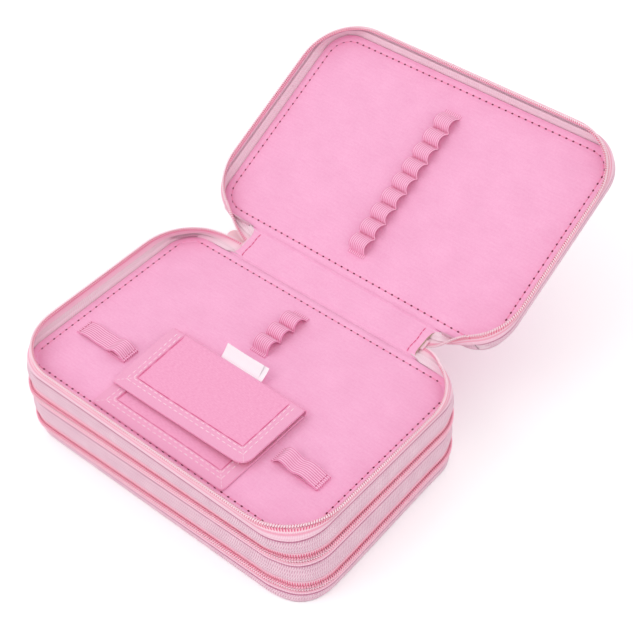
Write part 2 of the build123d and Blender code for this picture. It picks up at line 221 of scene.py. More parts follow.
def new_piece(name, points, faces, finish, cloth_map):
    """A smooth mesh piece from points in millimetres, with its cloth map point by point."""
    mesh = bpy.data.meshes.new(name)
    mesh.from_pydata((np.array(points) * METRES).tolist(), [], faces)
    mesh.materials.append(finish.material)
    layer = mesh.uv_layers.new(name="cloth")
    index = np.zeros(len(mesh.loops), np.int32)
    mesh.loops.foreach_get("vertex_index", index)
    layer.uv.foreach_set("vector", np.array(cloth_map, np.float32)[index].ravel())
    mesh.polygons.foreach_set("use_smooth", [True] * len(mesh.polygons))
    welded = bmesh.new()
    welded.from_mesh(mesh)
    bmesh.ops.remove_doubles(welded, verts=welded.verts, dist=same_place)
    welded.to_mesh(mesh)
    welded.free()
    piece = bpy.data.objects.new(name, mesh)
    bpy.context.scene.collection.objects.link(piece)
    return piece


def grid_faces(rows, columns, closed=False, start=0):
    """Quads over a grid of points; a closed grid joins its last column to its first."""
    faces = []
    for row in range(rows - 1):
        for column in range(columns if closed else columns - 1):
            after = (column + 1) % columns
            low, high = start + row * columns, start + (row + 1) * columns
            faces.append((low + column, low + after, high + after, high + column))
    return faces


def lengths_along(line):
    """Length run through at each point of a line."""
    steps = np.linalg.norm(np.diff(line, axis=0), axis=1)
    return np.concatenate([[0.0], np.cumsum(steps)])


def rounded(half_x, front, back, corner, arc=10, side=14, end=18, gap=0.0):
    """Plan points anticlockwise round a rounded rectangle, from the back right over the front
    to the back left. The gap is the half width left out at the back."""
    lines = []
    right, left = half_x - corner, corner - half_x
    low, high = front + corner, back - corner
    lines.append([(x, back) for x in np.linspace(gap, max(right, gap), 8)])
    for centre, first in (((right, high), 90), ((right, low), 0), ((left, low), -90), ((left, high), -180)):
        turn = np.radians(np.linspace(first, first - 90, arc))
        curve = np.column_stack([centre[0] + corner * np.cos(turn), centre[1] + corner * np.sin(turn)])
        lines.append(curve)
        if first == 90:
            lines.append(np.linspace((half_x, high), (half_x, low), side)[1:-1])
        if first == 0:
            lines.append(np.linspace((right, front), (left, front), end)[1:-1])
        if first == -90:
            lines.append(np.linspace((-half_x, low), (-half_x, high), side)[1:-1])
    lines.append([(x, back) for x in np.linspace(min(left, -gap), -gap, 8)])
    return np.concatenate([np.array(line, float) for line in lines])


lining_finish = Finish("lining_cloth", 0.85, Sheen_Weight=0.15)
threads = lining_finish.sum_of(
    "MULTIPLY",
    lining_finish.ripple(lining_finish.along, 0.55),
    lining_finish.ripple(lining_finish.across, 0.5),
)
fleck = lining_finish.mottle(1.3, 3.0)
cloud = lining_finish.mottle(18.0, 3.0)
streak = lining_finish.mottle(1.0, 2.0, stretch=0.12)
speckle = lining_finish.sum_of("MULTIPLY_ADD", fleck, 0.6, threads)
speckle = lining_finish.sum_of("MULTIPLY_ADD", streak, 0.5, speckle)
tone = lining_finish.ramp(speckle, (0.3, srgb(242, 157, 201)), (1.0, srgb(254, 190, 221)))
shade = lining_finish.ramp(cloud, (0.3, srgb(250, 246, 248)), (0.7, srgb(255, 255, 255)))
lining_finish.paint(lining_finish.blend(1.0, tone, shade, "MULTIPLY"))
lining_finish.emboss(speckle, 0.05)

cover_finish = Finish("cover_cloth", 0.55, Sheen_Weight=0.2)
weft = cover_finish.ripple(cover_finish.across, 0.6)
warp = cover_finish.ripple(cover_finish.along, 0.6)
twill = cover_finish.ripple(cover_finish.sum_of("ADD", cover_finish.along, cover_finish.across), 1.2)
checks = cover_finish.sum_of("MULTIPLY", cover_finish.sum_of("MULTIPLY", weft, warp), twill)
cover_finish.paint(cover_finish.ramp(checks, (0.0, srgb(212, 112, 164)), (0.6, srgb(232, 146, 188))))
cover_finish.emboss(checks, 0.08)

sheet_thickness = 0.4
edge_shows = 0.1
tongue_half = 66.0
stitch_inset = 4.2
panel_corner = 16.0
# Each ring of a sheet: how far in from the panel's edge, and how high over the sheet's face
sheet_rings = (
    (edge_shows, -sheet_thickness),
    (edge_shows, -0.14),
    (edge_shows + 0.3, 0.0),
    (2.0, 0.06),
    (3.3, 0.0),
    (stitch_inset - 0.35, -0.16),
    (stitch_inset, -0.24),
    (stitch_inset + 0.35, -0.16),
    (5.2, 0.0),
    (7.5, 0.04),
    (14.0, 0.0),
)


def panel_sheet(name, level, way, body, finish, tongue):
    """One cloth face of a panel, looking up where way is 1 and down where it is -1."""
    rings = []
    for inset, rise in sheet_rings:
        corner = max(panel_corner - inset, 3.0)
        plan = rounded(half_length - inset, inset - half_depth, half_depth - inset, corner)
        if tongue and inset < 1.0:
            at_back = (np.abs(plan[:, 0]) < tongue_half) & (plan[:, 1] > 0)
            plan[at_back, 1] = fold_y - 0.03
        heights = np.full((len(plan), 1), level + way * rise)
        rings.append(np.hstack([plan, heights]))
    count = len(rings[0])
    points = np.concatenate(rings)
    faces = grid_faces(len(rings), count, closed=True)
    faces.append(tuple(range(len(points) - count, len(points))))
    if way > 0:
        faces = [face[::-1] for face in faces]
    piece = new_piece(name, opened(points, body), faces, finish, points[:, :2])
    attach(piece, body)
    return piece


panel_faces = (
    ("bottom_lining", bottom_top, 1, "bottom_shell"),
    ("lower_divider_under_lining", lower_under, -1, "lower_divider"),
    ("lower_divider_top_lining", lower_top, 1, "lower_divider"),
    ("upper_divider_under_lining", upper_under, -1, "upper_divider"),
    ("upper_divider_top_lining", upper_top, 1, "upper_divider"),
    ("lid_lining", lid_under, -1, "lid"),
)
for name, level, way, body in panel_faces:
    sheet = panel_sheet(name + "_cloth", level, way, body, lining_finish, True)
    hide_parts(name)
cover_faces = (
    ("bottom_cover", 0.0, -1, "bottom_shell"),
    ("lid_cover", lid_top, 1, "lid"),
)
for name, level, way, body in cover_faces:
    sheet = panel_sheet(name + "_cloth", level, way, body, cover_finish, False)
    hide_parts(name)

# Lock stitching round the linings: a thread between needle holes, set in from the panel's
# edge. It is seen on the two opened faces and repeated in the shut trays. The holes are shallow
# pits painted near black: painted shade in each pit.

thread_finish = Finish("sewing_thread", 0.6)
twist = thread_finish.ripple(thread_finish.sum_of("ADD", thread_finish.along, thread_finish.across), 0.5)
thread_finish.paint(thread_finish.ramp(twist, (0.0, srgb(240, 128, 170)), (1.0, srgb(252, 164, 197))))
# The holes' near black is painted shade: the dark inside each small pit.
hole_shade_finish = Finish("needle_hole", 0.95)
hole_shade_finish.mottled(0.4, (96, 16, 42), (128, 34, 64))

stitch_pitch = 4.3
hole_length = 1.35
hole_width = 1.15
thread_radius = 0.18


def walk(line, pitch, closed=False):
    """Places along a line at an even pitch, with the direction at each."""
    line = np.array(line, float)
    if closed:
        line = np.vstack([line, line[:1]])
    run = lengths_along(line)
    count = max(int(round(run[-1] / pitch)), 1)
    at = np.linspace(0, run[-1], count + 1)
    places = np.column_stack([np.interp(at, run, line[:, axis]) for axis in range(3)])
    ahead = np.column_stack([np.interp(at + 0.1, run, line[:, axis]) for axis in range(3)])
    behind = np.column_stack([np.interp(at - 0.1, run, line[:, axis]) for axis in range(3)])
    way = ahead - behind
    return places, way / np.linalg.norm(way, axis=1)[:, None]


def tube(points, radius, sides=6, up=(0, 0, 1)):
    """Points and faces of a round thread along a line, tapered shut at both ends."""
    points = np.array(points, float)
    way = np.gradient(points, axis=0)
    way /= np.linalg.norm(way, axis=1)[:, None]
    side = np.cross(way, up)
    side /= np.linalg.norm(side, axis=1)[:, None]
    rise = np.cross(side, way)
    turn = np.linspace(0, 2 * math.pi, sides, endpoint=False)
    size = np.full(len(points), radius)
    size[[0, -1]] = radius * 0.35
    rings = points[:, None] + size[:, None, None] * (
        np.cos(turn)[None, :, None] * side[:, None] + np.sin(turn)[None, :, None] * rise[:, None]
    )
    faces = grid_faces(len(points), sides, closed=True)
    faces.append(tuple(range(sides)))
    faces.append(tuple(range((len(points) - 1) * sides, len(points) * sides))[::-1])
    return rings.reshape(-1, 3), faces


def joined(parts):
    """Several (points, faces) as one."""
    points, faces, start = [], [], 0
    for part_points, part_faces in parts:
        points.append(part_points)
        faces += [tuple(index + start for index in face) for face in part_faces]
        start += len(part_points)
    return np.concatenate(points), faces


def stitches(line, pitch, normal, closed=False, gap=0.5, radius=thread_radius, arch=0.16):
    """Threads from hole to hole along a line on a face with this normal."""
    places, _ = walk(line, pitch, closed)
    normal = np.array(normal, float)
    parts = []
    for first, last in zip(places[:-1], places[1:]):
        way = (last - first) / np.linalg.norm(last - first)
        shares = np.linspace(0, 1, 6)
        run = [first + way * gap + (last - first - 2 * way * gap) * share for share in shares]
        lift = [arch * math.sin(math.pi * share) - 0.08 for share in shares]
        run = [point + normal * rise for point, rise in zip(run, lift)]
        parts.append(tube(run, radius, up=normal))
    return joined(parts)


def needle_holes(line, pitch, normal, closed=False):
    """Small pits at the ends of the stitches along a line; their finish paints them dark as shade."""
    places, ways = walk(line, pitch, closed)
    if closed:
        places, ways = places[:-1], ways[:-1]
    normal = np.array(normal, float)
    parts = []
    turn = np.linspace(0, 2 * math.pi, 10, endpoint=False)
    for place, way in zip(places, ways):
        side = np.cross(normal, way)
        ring = []
        for angle in turn:
            ahead = way * math.cos(angle) * hole_length / 2
            ring.append(place + ahead + side * math.sin(angle) * hole_width / 2)
        rim = [place + (point - place) * 0.55 + normal * 0.06 for point in ring]
        points = ring + rim + [place - normal * 0.03]
        faces = grid_faces(2, 10, closed=True)
        faces += [(10 + index, 10 + (index + 1) % 10, 20) for index in range(10)]
        parts.append((np.array(points), faces))
    return joined(parts)


def sewn_piece(name, built, finish, body):
    """A thread or hole piece laid out shut, opened with its body."""
    points, faces = built
    piece = new_piece(name, opened(points, body), faces, finish, points[:, :2] + points[:, 2:])
    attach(piece, body)
    return piece


stitch_corners = {"upper_divider_top_lining": 8.5, "lid_lining": 13.0}
for name, level, way, body in panel_faces:
    corner = stitch_corners.get(name, 10.0)
    plan = rounded(half_length - stitch_inset, stitch_inset - half_depth, half_depth - stitch_inset, corner)
    line = np.hstack([plan, np.full((len(plan), 1), level - way * 0.16)])
    normal = (0, 0, way)
    threads_of = stitches(line, stitch_pitch, normal, closed=True)
    sewn_piece(name + "_stitching", threads_of, thread_finish, body)
    holes_of = needle_holes(line, stitch_pitch, normal, closed=True)
    sewn_piece(name + "_needle_holes", holes_of, hole_shade_finish, body)

# Side bands: padded knit cloth sewn round the edge of each panel, from one zip seam to the next.
# Each is crowned, tucked in along its seams, and stands out less at the back.

band_foot = 0.15
seam_up, seam_down = 3.9, 5.4
back_share = 0.5
rim_gap = 67.0
rim_samples = {"arc": 16, "side": 30, "end": 44}


def plan_line(bulge, corner, gap=rim_gap):
    """A line round the panel, standing out by the bulge and half of that at the back."""
    front, back = -half_depth - bulge, half_depth + bulge * back_share
    return rounded(half_length + bulge, front, back, corner, gap=gap, **rim_samples)


def ring_of(rows, gap=rim_gap):
    """Sections round a rim. Each row is (height, bulge, corner); the result is station by row."""
    lines = []
    for height, bulge, corner in rows:
        plan = plan_line(bulge, corner, gap)
        lines.append(np.hstack([plan, np.full((len(plan), 1), height)]))
    return np.stack(lines, axis=1)


def crisp(piece):
    """Turns a piece's faces outwards and keeps its cut edges sharp under smooth shading."""
    mesh = bmesh.new()
    mesh.from_mesh(piece.data)
    bmesh.ops.recalc_face_normals(mesh, faces=mesh.faces)
    mesh.to_mesh(piece.data)
    mesh.free()
    piece.data.set_sharp_from_angle(angle=math.radians(50))


def swept(name, sections, finish, body=None, over=None, outers=None):
    """A closed strip through sections of (station, point); each section is a closed loop. Its
    cloth map runs along the strip, and over it by the widths given or by the way round, with the
    points after the first few outer ones set apart as its inside."""
    stations, count = sections.shape[:2]
    points = sections.reshape(-1, 3)
    faces = grid_faces(stations, count, closed=True)
    faces.append(tuple(range(count)))
    faces.append(tuple(range((stations - 1) * count, stations * count))[::-1])
    along = lengths_along(sections.mean(axis=1))
    if over is None:
        wide = np.linalg.norm(np.diff(sections, axis=1, append=sections[:, :1]), axis=2).mean(axis=0)
        over = np.concatenate([[0.0], np.cumsum(wide)[:-1]])
        over[outers:] += inside_map if outers else 0.0
    cloth_map = np.stack(np.meshgrid(along, over, indexing="ij"), axis=2).reshape(-1, 2)
    if body:
        points = opened(points, body)
    piece = new_piece(name, points, faces, finish, cloth_map)
    crisp(piece)
    if body:
        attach(piece, body)
    return piece


def crowned(low, widest, high, steps=6):
    """Rows over a crown from the low edge to the high one, steep at both edges."""
    rows = []
    for edge, way in ((low, 1), (high, -1)):
        part = []
        for step in range(steps):
            share = step / steps
            turn = math.sin(math.radians(90 * share)) ** 0.8
            height = edge[0] + (widest[0] - edge[0]) * share
            bulge, corner = [a + (b - a) * turn for a, b in zip(edge[1:], widest[1:])]
            part.append((height, bulge, corner))
        rows.append(part)
    return rows[0] + [widest] + rows[1][::-1]


def inward(row, wall):
    """The row that lies inside this one, through a wall of this thickness."""
    height, bulge, corner = row
    return (height, bulge - wall, corner - wall)


inside_map = 60.0
knit_finish = Finish("knit_cloth", 0.9, Sheen_Weight=0.25)
column = knit_finish.ripple(knit_finish.along, 1.2)
course = knit_finish.ripple(knit_finish.across, 0.8)
step = knit_finish.sum_of("MULTIPLY_ADD", knit_finish.across, 0.5, knit_finish.along)
slant = knit_finish.ripple(step, 1.2)
mesh_knit = knit_finish.sum_of("MULTIPLY", column, course)
mesh_knit = knit_finish.sum_of("MULTIPLY_ADD", slant, 0.45, mesh_knit)
fuzz = knit_finish.mottle(0.6, 3.0)
mesh_knit = knit_finish.sum_of("MULTIPLY_ADD", fuzz, 0.5, mesh_knit)
patchy = knit_finish.mottle(9.0, 2.0)
knit_tone = knit_finish.ramp(
    mesh_knit, (0.15, srgb(208, 142, 170)), (0.6, srgb(240, 192, 211)), (1.05, srgb(255, 230, 238))
)
knit_shade = knit_finish.ramp(patchy, (0.3, srgb(246, 240, 244)), (0.7, srgb(255, 255, 255)))
outside = knit_finish.blend(1.0, knit_tone, knit_shade, "MULTIPLY")
# The inside of the band is painted in a paler copy of the knit: painted light, against the shade inside the
# trays.
inside = knit_finish.ramp(mesh_knit, (0.1, srgb(244, 190, 211)), (1.0, srgb(255, 236, 243)))
lit_inside_mask = knit_finish.rise(knit_finish.across, inside_map - 1.0, inside_map)
knit_finish.paint(knit_finish.blend(lit_inside_mask, outside, inside))
knit_finish.emboss(mesh_knit, 0.22)


low_edge, crown, top_edge = (3.0, 24.4), (3.4, 22.4), (1.9, 24.0)
fillet = (2.8, 24.4)
groove_eases = 2.6
lean_heights = (0.0, 12.4, 34.6, 44.0)
lean_amounts = (0.4, 2.0, 1.9, 0.0)
lean_right = (1.6, 1.6, 0.0, 0.0)


def settled(sections):
    """Lets the shut trays' soft walls sit a little askew: fuller at the front left and at the
    right, flatter at the front right."""
    x, y, z = sections[..., 0], sections[..., 1], sections[..., 2]
    core = half_length - panel_corner, half_depth - panel_corner
    away = np.stack([x - np.clip(x, -core[0], core[0]), y - np.clip(y, -core[1], core[1])], axis=-1)
    away /= np.maximum(np.linalg.norm(away, axis=-1), 1e-6)[..., None]
    front = np.clip(-away[..., 1], 0, 1) ** 6 * np.interp(z, lean_heights, lean_amounts)
    right = np.clip(away[..., 0], 0, 1) ** 2 * np.interp(z, lean_heights, lean_right)
    shift = right * np.clip(0.5 - y / half_depth, 0, 1) - front * np.clip(x / 85.0, -0.8, 1.0)
    moved = sections.copy()
    moved[..., :2] += away * shift[..., None]
    return moved


def eased_ring(rows, face, way, easing):
    """A ring whose seam with the tape lies lower by the easing at the front and the left."""
    drop = []
    for height, bulge, _ in rows:
        in_groove = np.interp(way * (height - face), (-4.0, 3.2, 5.2, 7.4), (0, 1, 1, 0))
        drop.append(easing * in_groove * (bulge > 1.5))
    ring = ring_of(rows)
    along = np.gradient(ring[:, 0, :2], axis=0)
    along /= np.linalg.norm(along, axis=1)[:, None]
    facing = np.maximum(along[:, 0] * -1.0, along[:, 1])
    share = np.clip(1.4 * facing, 0, 1)
    ring[:, :, 2] -= way * share[:, None] * np.array(drop)
    return ring


def band_rows(under, top):
    """Outer rows of a divider's band, and the inner rows that close it."""
    low = (under - seam_down, *low_edge)
    high = (top + seam_up + 0.6, *top_edge)
    widest = (under - 0.8, *crown)
    outer = [(low[0] + 0.15, low[1] - 0.75, low[2])] + crowned(low, widest, high)
    inner = [
        (top + 5.5, *fillet),
        (top + 2.4, 0.95, panel_corner + 3.0),
        (top, band_foot, panel_corner + band_foot),
        (under, band_foot, panel_corner + band_foot),
        (under - 2.5, 0.9, panel_corner + 3.5),
        inward((low[0] + 0.4, *low[1:]), 1.2),
    ]
    return outer, inner


outer, inner = band_rows(lower_under, lower_top)
band = swept("lower_divider_band", settled(ring_of(outer + inner)), knit_finish, "lower_divider",
             outers=len(outer))
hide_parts("lower_divider_side_band")

# The zips: woven tape with a nylon coil sewn along its free edge. The shut zips are drawn in
# under the bands; the opened one splays, and turns outwards to the hinge at both its ends.

tape_finish = Finish("zip_tape", 0.7, Sheen_Weight=0.15)
rib = tape_finish.ripple(tape_finish.along, 0.8)
line = tape_finish.ripple(tape_finish.across, 0.7)
herring = tape_finish.sum_of("MULTIPLY_ADD", line, 0.4, rib)
ground = tape_finish.ramp(
    herring, (0.1, srgb(240, 178, 203)), (0.7, srgb(249, 202, 219)), (1.3, srgb(254, 220, 232))
)
ticks = tape_finish.ripple(tape_finish.along, 1.25)
# The tape's edge at its seam with the band is painted dark: painted shade in the groove there.
seam = tape_finish.rise(tape_finish.across, 4.75, 4.25)
ground = tape_finish.blend(seam, ground, srgb(206, 128, 158))
woven_from = tape_finish.rise(tape_finish.across, 6.2, 6.35)
woven_to = tape_finish.rise(tape_finish.across, 6.75, 6.6)
woven = tape_finish.sum_of("MULTIPLY", woven_from, woven_to)
ground = tape_finish.blend(woven, ground, srgb(244, 168, 192))
bed = tape_finish.rise(tape_finish.across, 6.75, 6.9)
ground = tape_finish.blend(bed, ground, srgb(253, 214, 226))
sewn = tape_finish.sum_of("MULTIPLY", ticks, tape_finish.rise(tape_finish.across, 6.95, 7.1))
outside = tape_finish.blend(sewn, ground, srgb(234, 92, 138))
# The inside of the tape is painted in a paler copy of it: painted light, against the shade inside the rim.
inside = tape_finish.ramp(herring, (0.1, srgb(248, 196, 214)), (1.3, srgb(255, 230, 239)))
blush = tape_finish.rise(tape_finish.across, inside_map + 5.0, inside_map + 7.4)
inside = tape_finish.blend(blush, inside, srgb(252, 200, 217))
hem = tape_finish.rise(tape_finish.across, inside_map + 7.4, inside_map + 7.6)
hem_ticks = tape_finish.sum_of("MULTIPLY", ticks, hem)
inside = tape_finish.blend(hem_ticks, inside, srgb(232, 104, 148))
lit_inside_mask = tape_finish.rise(tape_finish.across, inside_map - 1.0, inside_map)
tape_finish.paint(tape_finish.blend(lit_inside_mask, outside, inside))
tape_finish.emboss(herring, 0.1)

coil_finish = Finish("nylon_coil", 0.75, Specular_IOR_Level=0.15)
glint = coil_finish.mottle(0.8)
thread_tone = coil_finish.ramp(glint, (0.3, srgb(252, 170, 194)), (0.7, srgb(255, 192, 210)))
# The heads, where the coil turns over, are painted paler than the thread: a painted highlight.
head_highlight = coil_finish.rise(coil_finish.across, 9.0, 9.4)
coil_finish.paint(coil_finish.blend(head_highlight, thread_tone, srgb(255, 224, 234)))

tape_thickness = 0.6
tape_lip = (3.45, 24.2)
open_edge = (2.75, 31.5)
shut_edge = (3.2, 24.0)
coil_pitch = 1.25
coil_points = 10
coil_thread = 0.41
coil_height = 0.8
coil_depth = 0.4
coil_level = 8.95


def half_zip_rows(face, way, splayed):
    """Closed section of the tape of a half zip, how far each row is from its panel, and the two
    lines that its coil lies between. A lower tape laps over its band, an upper one hangs under."""
    end = open_edge if splayed else shut_edge
    lapped = way > 0 or splayed
    start = tape_lip if lapped else (2.2, 26.0)
    rows = [(3.8, 0.0, 1.3), (4.2, 0.0, 1.05), (4.6, 0.0, 0.35)] if lapped else [(4.9, 0.0, 0.0)]
    last = 9.0 if splayed else 9.5
    rows += [(5.1, 0.1, 0.0), (6.3, 0.35, 0.0), (7.2, 0.7, 0.0)]
    rows += [(8.0, 0.9, 0.2), (8.4, 1.0, 0.25), (last, 1.0, 0.25)]
    outer = []
    for reach, share, drop in rows:
        bulge, corner = [a + (b - a) * share for a, b in zip(start, end)]
        outer.append((face + way * reach, bulge - drop, corner - drop))
    inner = [inward(row, tape_thickness) for row in outer[:0:-1]]
    reaches = [abs(row[0] - face) for row in outer] + [inside_map + abs(row[0] - face) for row in inner]
    low = (face + way * (coil_level - coil_height), end[0] + 0.5, end[1] + 0.5)
    high = (face + way * (coil_level + coil_height), end[0] + 0.5, end[1] + 0.5)
    return outer + inner, reaches, (low, high)


def coil_piece(name, low, high, body=None, shift=0.0):
    """A flattened spiral of nylon between two lines round the rim."""
    centre = (low + high) / 2
    up = high - low
    up /= np.linalg.norm(up, axis=1)[:, None]
    run = lengths_along(centre)
    turns = run[-1] / coil_pitch
    count = int(turns * coil_points)
    phase = np.arange(count + 1) * 2 * math.pi / coil_points + shift
    at = np.linspace(0, run[-1], count + 1)

    def along(line):
        return np.column_stack([np.interp(at, run, line[:, axis]) for axis in range(3)])

    middle, rise, way = along(centre), along(up), along(np.gradient(centre, axis=0))
    way /= np.linalg.norm(way, axis=1)[:, None]
    out = np.cross(rise, way)
    spiral = middle + rise * (np.cos(phase) * coil_height)[:, None]
    spiral += out * (np.sin(phase) * coil_depth)[:, None]
    points, faces = tube(spiral, coil_thread, sides=5, up=(0.13, 0.17, 0.98))
    if body:
        points = opened(points, body)
    reach = coil_level + np.cos(phase) * coil_height
    cloth_map = np.column_stack([np.repeat(at, 5), np.repeat(reach, 5)])
    piece = new_piece(name, points, faces, coil_finish, cloth_map)
    if body:
        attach(piece, body)
    return piece


# The seam's thread in each groove is painted dark: it stands for the shade in the groove.
groove_shade_finish = Finish("groove_shade_cord", 0.85)
groove_shade_finish.mottled(0.9, (196, 122, 154), (216, 150, 178))


def groove_shade_cord(name, face, way, body, stations=slice(None), easing=0.0):
    """The thread of the seam in the groove between a band and the tape over it, painted dark as the
    groove's shade.
    """
    line = settled(eased_ring([(face + way * 3.3, 2.6, 23.6)], face, way, easing))[stations, 0]
    points, faces = tube(line, 0.34, sides=6)
    cloth_map = np.column_stack([np.repeat(lengths_along(line), 6), points[:, 2]])
    piece = new_piece(name + "_groove_shade_cord", opened(points, body), faces, groove_shade_finish, cloth_map)
    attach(piece, body)


shut_halves = (
    ("bottom_zip_lower", bottom_top, 1, "bottom_shell"),
    ("bottom_zip_upper", lower_under, -1, "lower_divider"),
    ("middle_zip_lower", lower_top, 1, "lower_divider"),
    ("middle_zip_upper", upper_under, -1, "upper_divider"),
)
for name, face, way, body in shut_halves:
    rows, reaches, edges = half_zip_rows(face, way, False)
    tape = swept(name + "_tape_cloth", settled(ring_of(rows)), tape_finish, body, reaches)
    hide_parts(name + "_tape")
    edge = settled(ring_of(edges))
    coil = coil_piece(name + "_coil_teeth", edge[:, 0], edge[:, 1], body, 0.0 if way > 0 else math.pi)
    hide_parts(name + "_coil")
    if way > 0:
        groove_shade_cord(name, face, way, body)

# The bottom's band, which is sewn under the bottom cover, and the lid's, which mirrors it.
# The upper divider's band is in two: below its panel it is plain, above it opens with the zip.


def shell_rows(face, top, way):
    """Outer and inner rows of the band of the bottom or the lid, from its cover to its tape."""
    hem = (face, 0.5, 16.6)
    edge = (top + way * (seam_up + 0.6), *top_edge)
    widest = (face + (edge[0] - face) * 0.45, 2.9, 23.4)
    outer = crowned(hem, widest, edge)
    inner = [
        (top + way * 5.5, *fillet),
        (top + way * 2.4, 0.95, panel_corner + 3.0),
        (top, band_foot, panel_corner + band_foot),
        (face + way * 0.3, band_foot, panel_corner + band_foot),
    ]
    return outer, inner


outer, inner = shell_rows(0.0, bottom_top, 1)
band = swept("bottom_band", settled(ring_of(outer + inner)), knit_finish, "bottom_shell",
             outers=len(outer))
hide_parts("bottom_side_band")


def rows_between(rows, low, high):
    """The rows between two heights, with a row added at each limit that they cross."""
    rows = sorted(rows)
    kept = [row for row in rows if low < row[0] < high]
    for level in (low, high):
        if rows[0][0] < level < rows[-1][0]:
            below = [row for row in rows if row[0] <= level][-1]
            above = [row for row in rows if row[0] > level][0]
            share = (level - below[0]) / (above[0] - below[0])
            kept.append(tuple(a + (b - a) * share for a, b in zip(below, above)))
    return sorted(kept)


# Stations where the opened rims leave the back corners, counted from the ends of a ring
tail_start = 13
station_count = len(plan_line(0.0, panel_corner))
body_stations = slice(tail_start, station_count - tail_start)


def divided_band(name, outer, inner, level, body, node, easing=0.0):
    """A band that is whole round the front, and stops at its panel's level at the back."""
    kept = rows_between(outer, min(row[0] for row in outer) - 1, level)
    if level < sum(row[0] for row in outer) / len(outer):
        kept = rows_between(outer, level, max(row[0] for row in outer) + 1)[::-1]
    whole = settled(eased_ring(outer + inner, level, 1, easing))[body_stations]
    whole = swept(name, whole, knit_finish, body, outers=len(outer))
    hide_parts(node)
    short = settled(ring_of(kept + inner[2:]))
    for end, stations in (("right", slice(0, tail_start + 1)), ("left", slice(-tail_start - 1, None))):
        swept(f"{name}_{end}_end", short[stations], knit_finish, body)


outer, inner = band_rows(upper_under, upper_top)
divided_band("upper_divider_band", outer, inner, upper_top, "upper_divider", "upper_divider_side_band",
             groove_eases)
outer, inner = shell_rows(lid_top, lid_under, -1)
divided_band("lid_band", outer, inner, lid_under, "lid", "lid_side_band")

# The opened rims of the top tray and the lid: a wall of the same knit, the splayed tape and its
# coil. Past the back corners each rim leans out until it lies under the end of the spine strip.

spine_half = 61.5
tail_end_x = spine_half - 2.0
tail_depth = 2.1
tail_steps = 16


def wall_rows(face, way):
    """Closed section of a band's upper part, from its panel to its seam with the tape."""
    outer = [(face, 3.35, 22.6), (face + way * 1.8, 3.15, 22.9), (face + way * 3.3, 2.6, 23.4)]
    edge = (face + way * (seam_up + 0.6), *top_edge)
    inner = [
        (face + way * 5.5, *fillet),
        (face + way * 2.4, 0.95, panel_corner + 3.0),
        (face - way * 0.3, band_foot - 0.3, panel_corner),
    ]
    return outer + [edge] + inner


def tail(sections, side, body, face, way, depths):
    """Sections of the end of a rim, from the rim's last full section to the spine strip's end.
    Heights over the face carry over to lengths along the strip."""
    if side < 0:
        sections = sections[::-1]
    first, before = sections[tail_start], sections[tail_start + 1]
    reach = np.abs(first[:, 2] - face)
    last = np.column_stack([
        np.full(len(first), side * tail_end_x),
        fold_y + tail_depth + np.array(depths),
        face + way * reach,
    ])
    first, before = opened(first, body), opened(before, body)
    last = opened(last, "top_spine")
    span = np.linalg.norm(last - first, axis=1)[:, None]
    leave = first - before
    leave /= np.linalg.norm(leave, axis=1)[:, None]
    arrive = np.array([-side, 0.0, 0.0])
    run = []
    for share in np.linspace(0, 1, tail_steps):
        a, b = 2 * share**3 - 3 * share**2 + 1, share**3 - 2 * share**2 + share
        c, d = 3 * share**2 - 2 * share**3, share**3 - share**2
        run.append(a * first + b * span * leave + c * last + d * span * arrive)
    return np.array(run)


def web(run, side, body, face, way):
    """Sections of the knit that fills in between a panel's back corner and the tail of its rim:
    thick where it leaves the full wall, and thin where it reaches the strip."""
    foot = plan_line(-0.2, panel_corner - 0.2)
    foot = foot[: tail_start + 1][::-1] if side > 0 else foot[-tail_start - 1 :]
    under_strip = [(side * (spine_half + 2.0), fold_y + 0.6), (side * (spine_half - 1.5), fold_y + 0.9)]
    foot = np.vstack([foot, under_strip])
    steps = lengths_along(foot)
    at = np.linspace(0, steps[-1], tail_steps)
    foot = np.column_stack([np.interp(at, steps, foot[:, axis]) for axis in range(2)])
    foot = opened(np.column_stack([foot, np.full(tail_steps, face - way * 0.1)]), body)
    rise = run[:, 3] - foot
    out = np.cross(rise, np.gradient(foot, axis=0))
    out /= np.linalg.norm(out, axis=1)[:, None]
    out *= np.sign(out[0, 0] * side)
    thick = np.linspace(0.9, 0.4, tail_steps)
    sections = []
    for share in (0.0, 0.2, 0.4, 0.6, 0.8, 1.0):
        bow = thick * (1 - share) ** 0.7 + 0.4
        sections.append(foot + rise * share + out * bow[:, None])
    for share in (1.0, 0.75, 0.5, 0.25, 0.0):
        sections.append(foot + rise * share - out * 0.4)
    return np.stack(sections, axis=1)


def blend_tail(piece, body):
    """Bakes a rim end's place into its mesh; it stays where the opened case has it."""
    if body == "upper_divider":
        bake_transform(piece)
    else:
        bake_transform(piece)


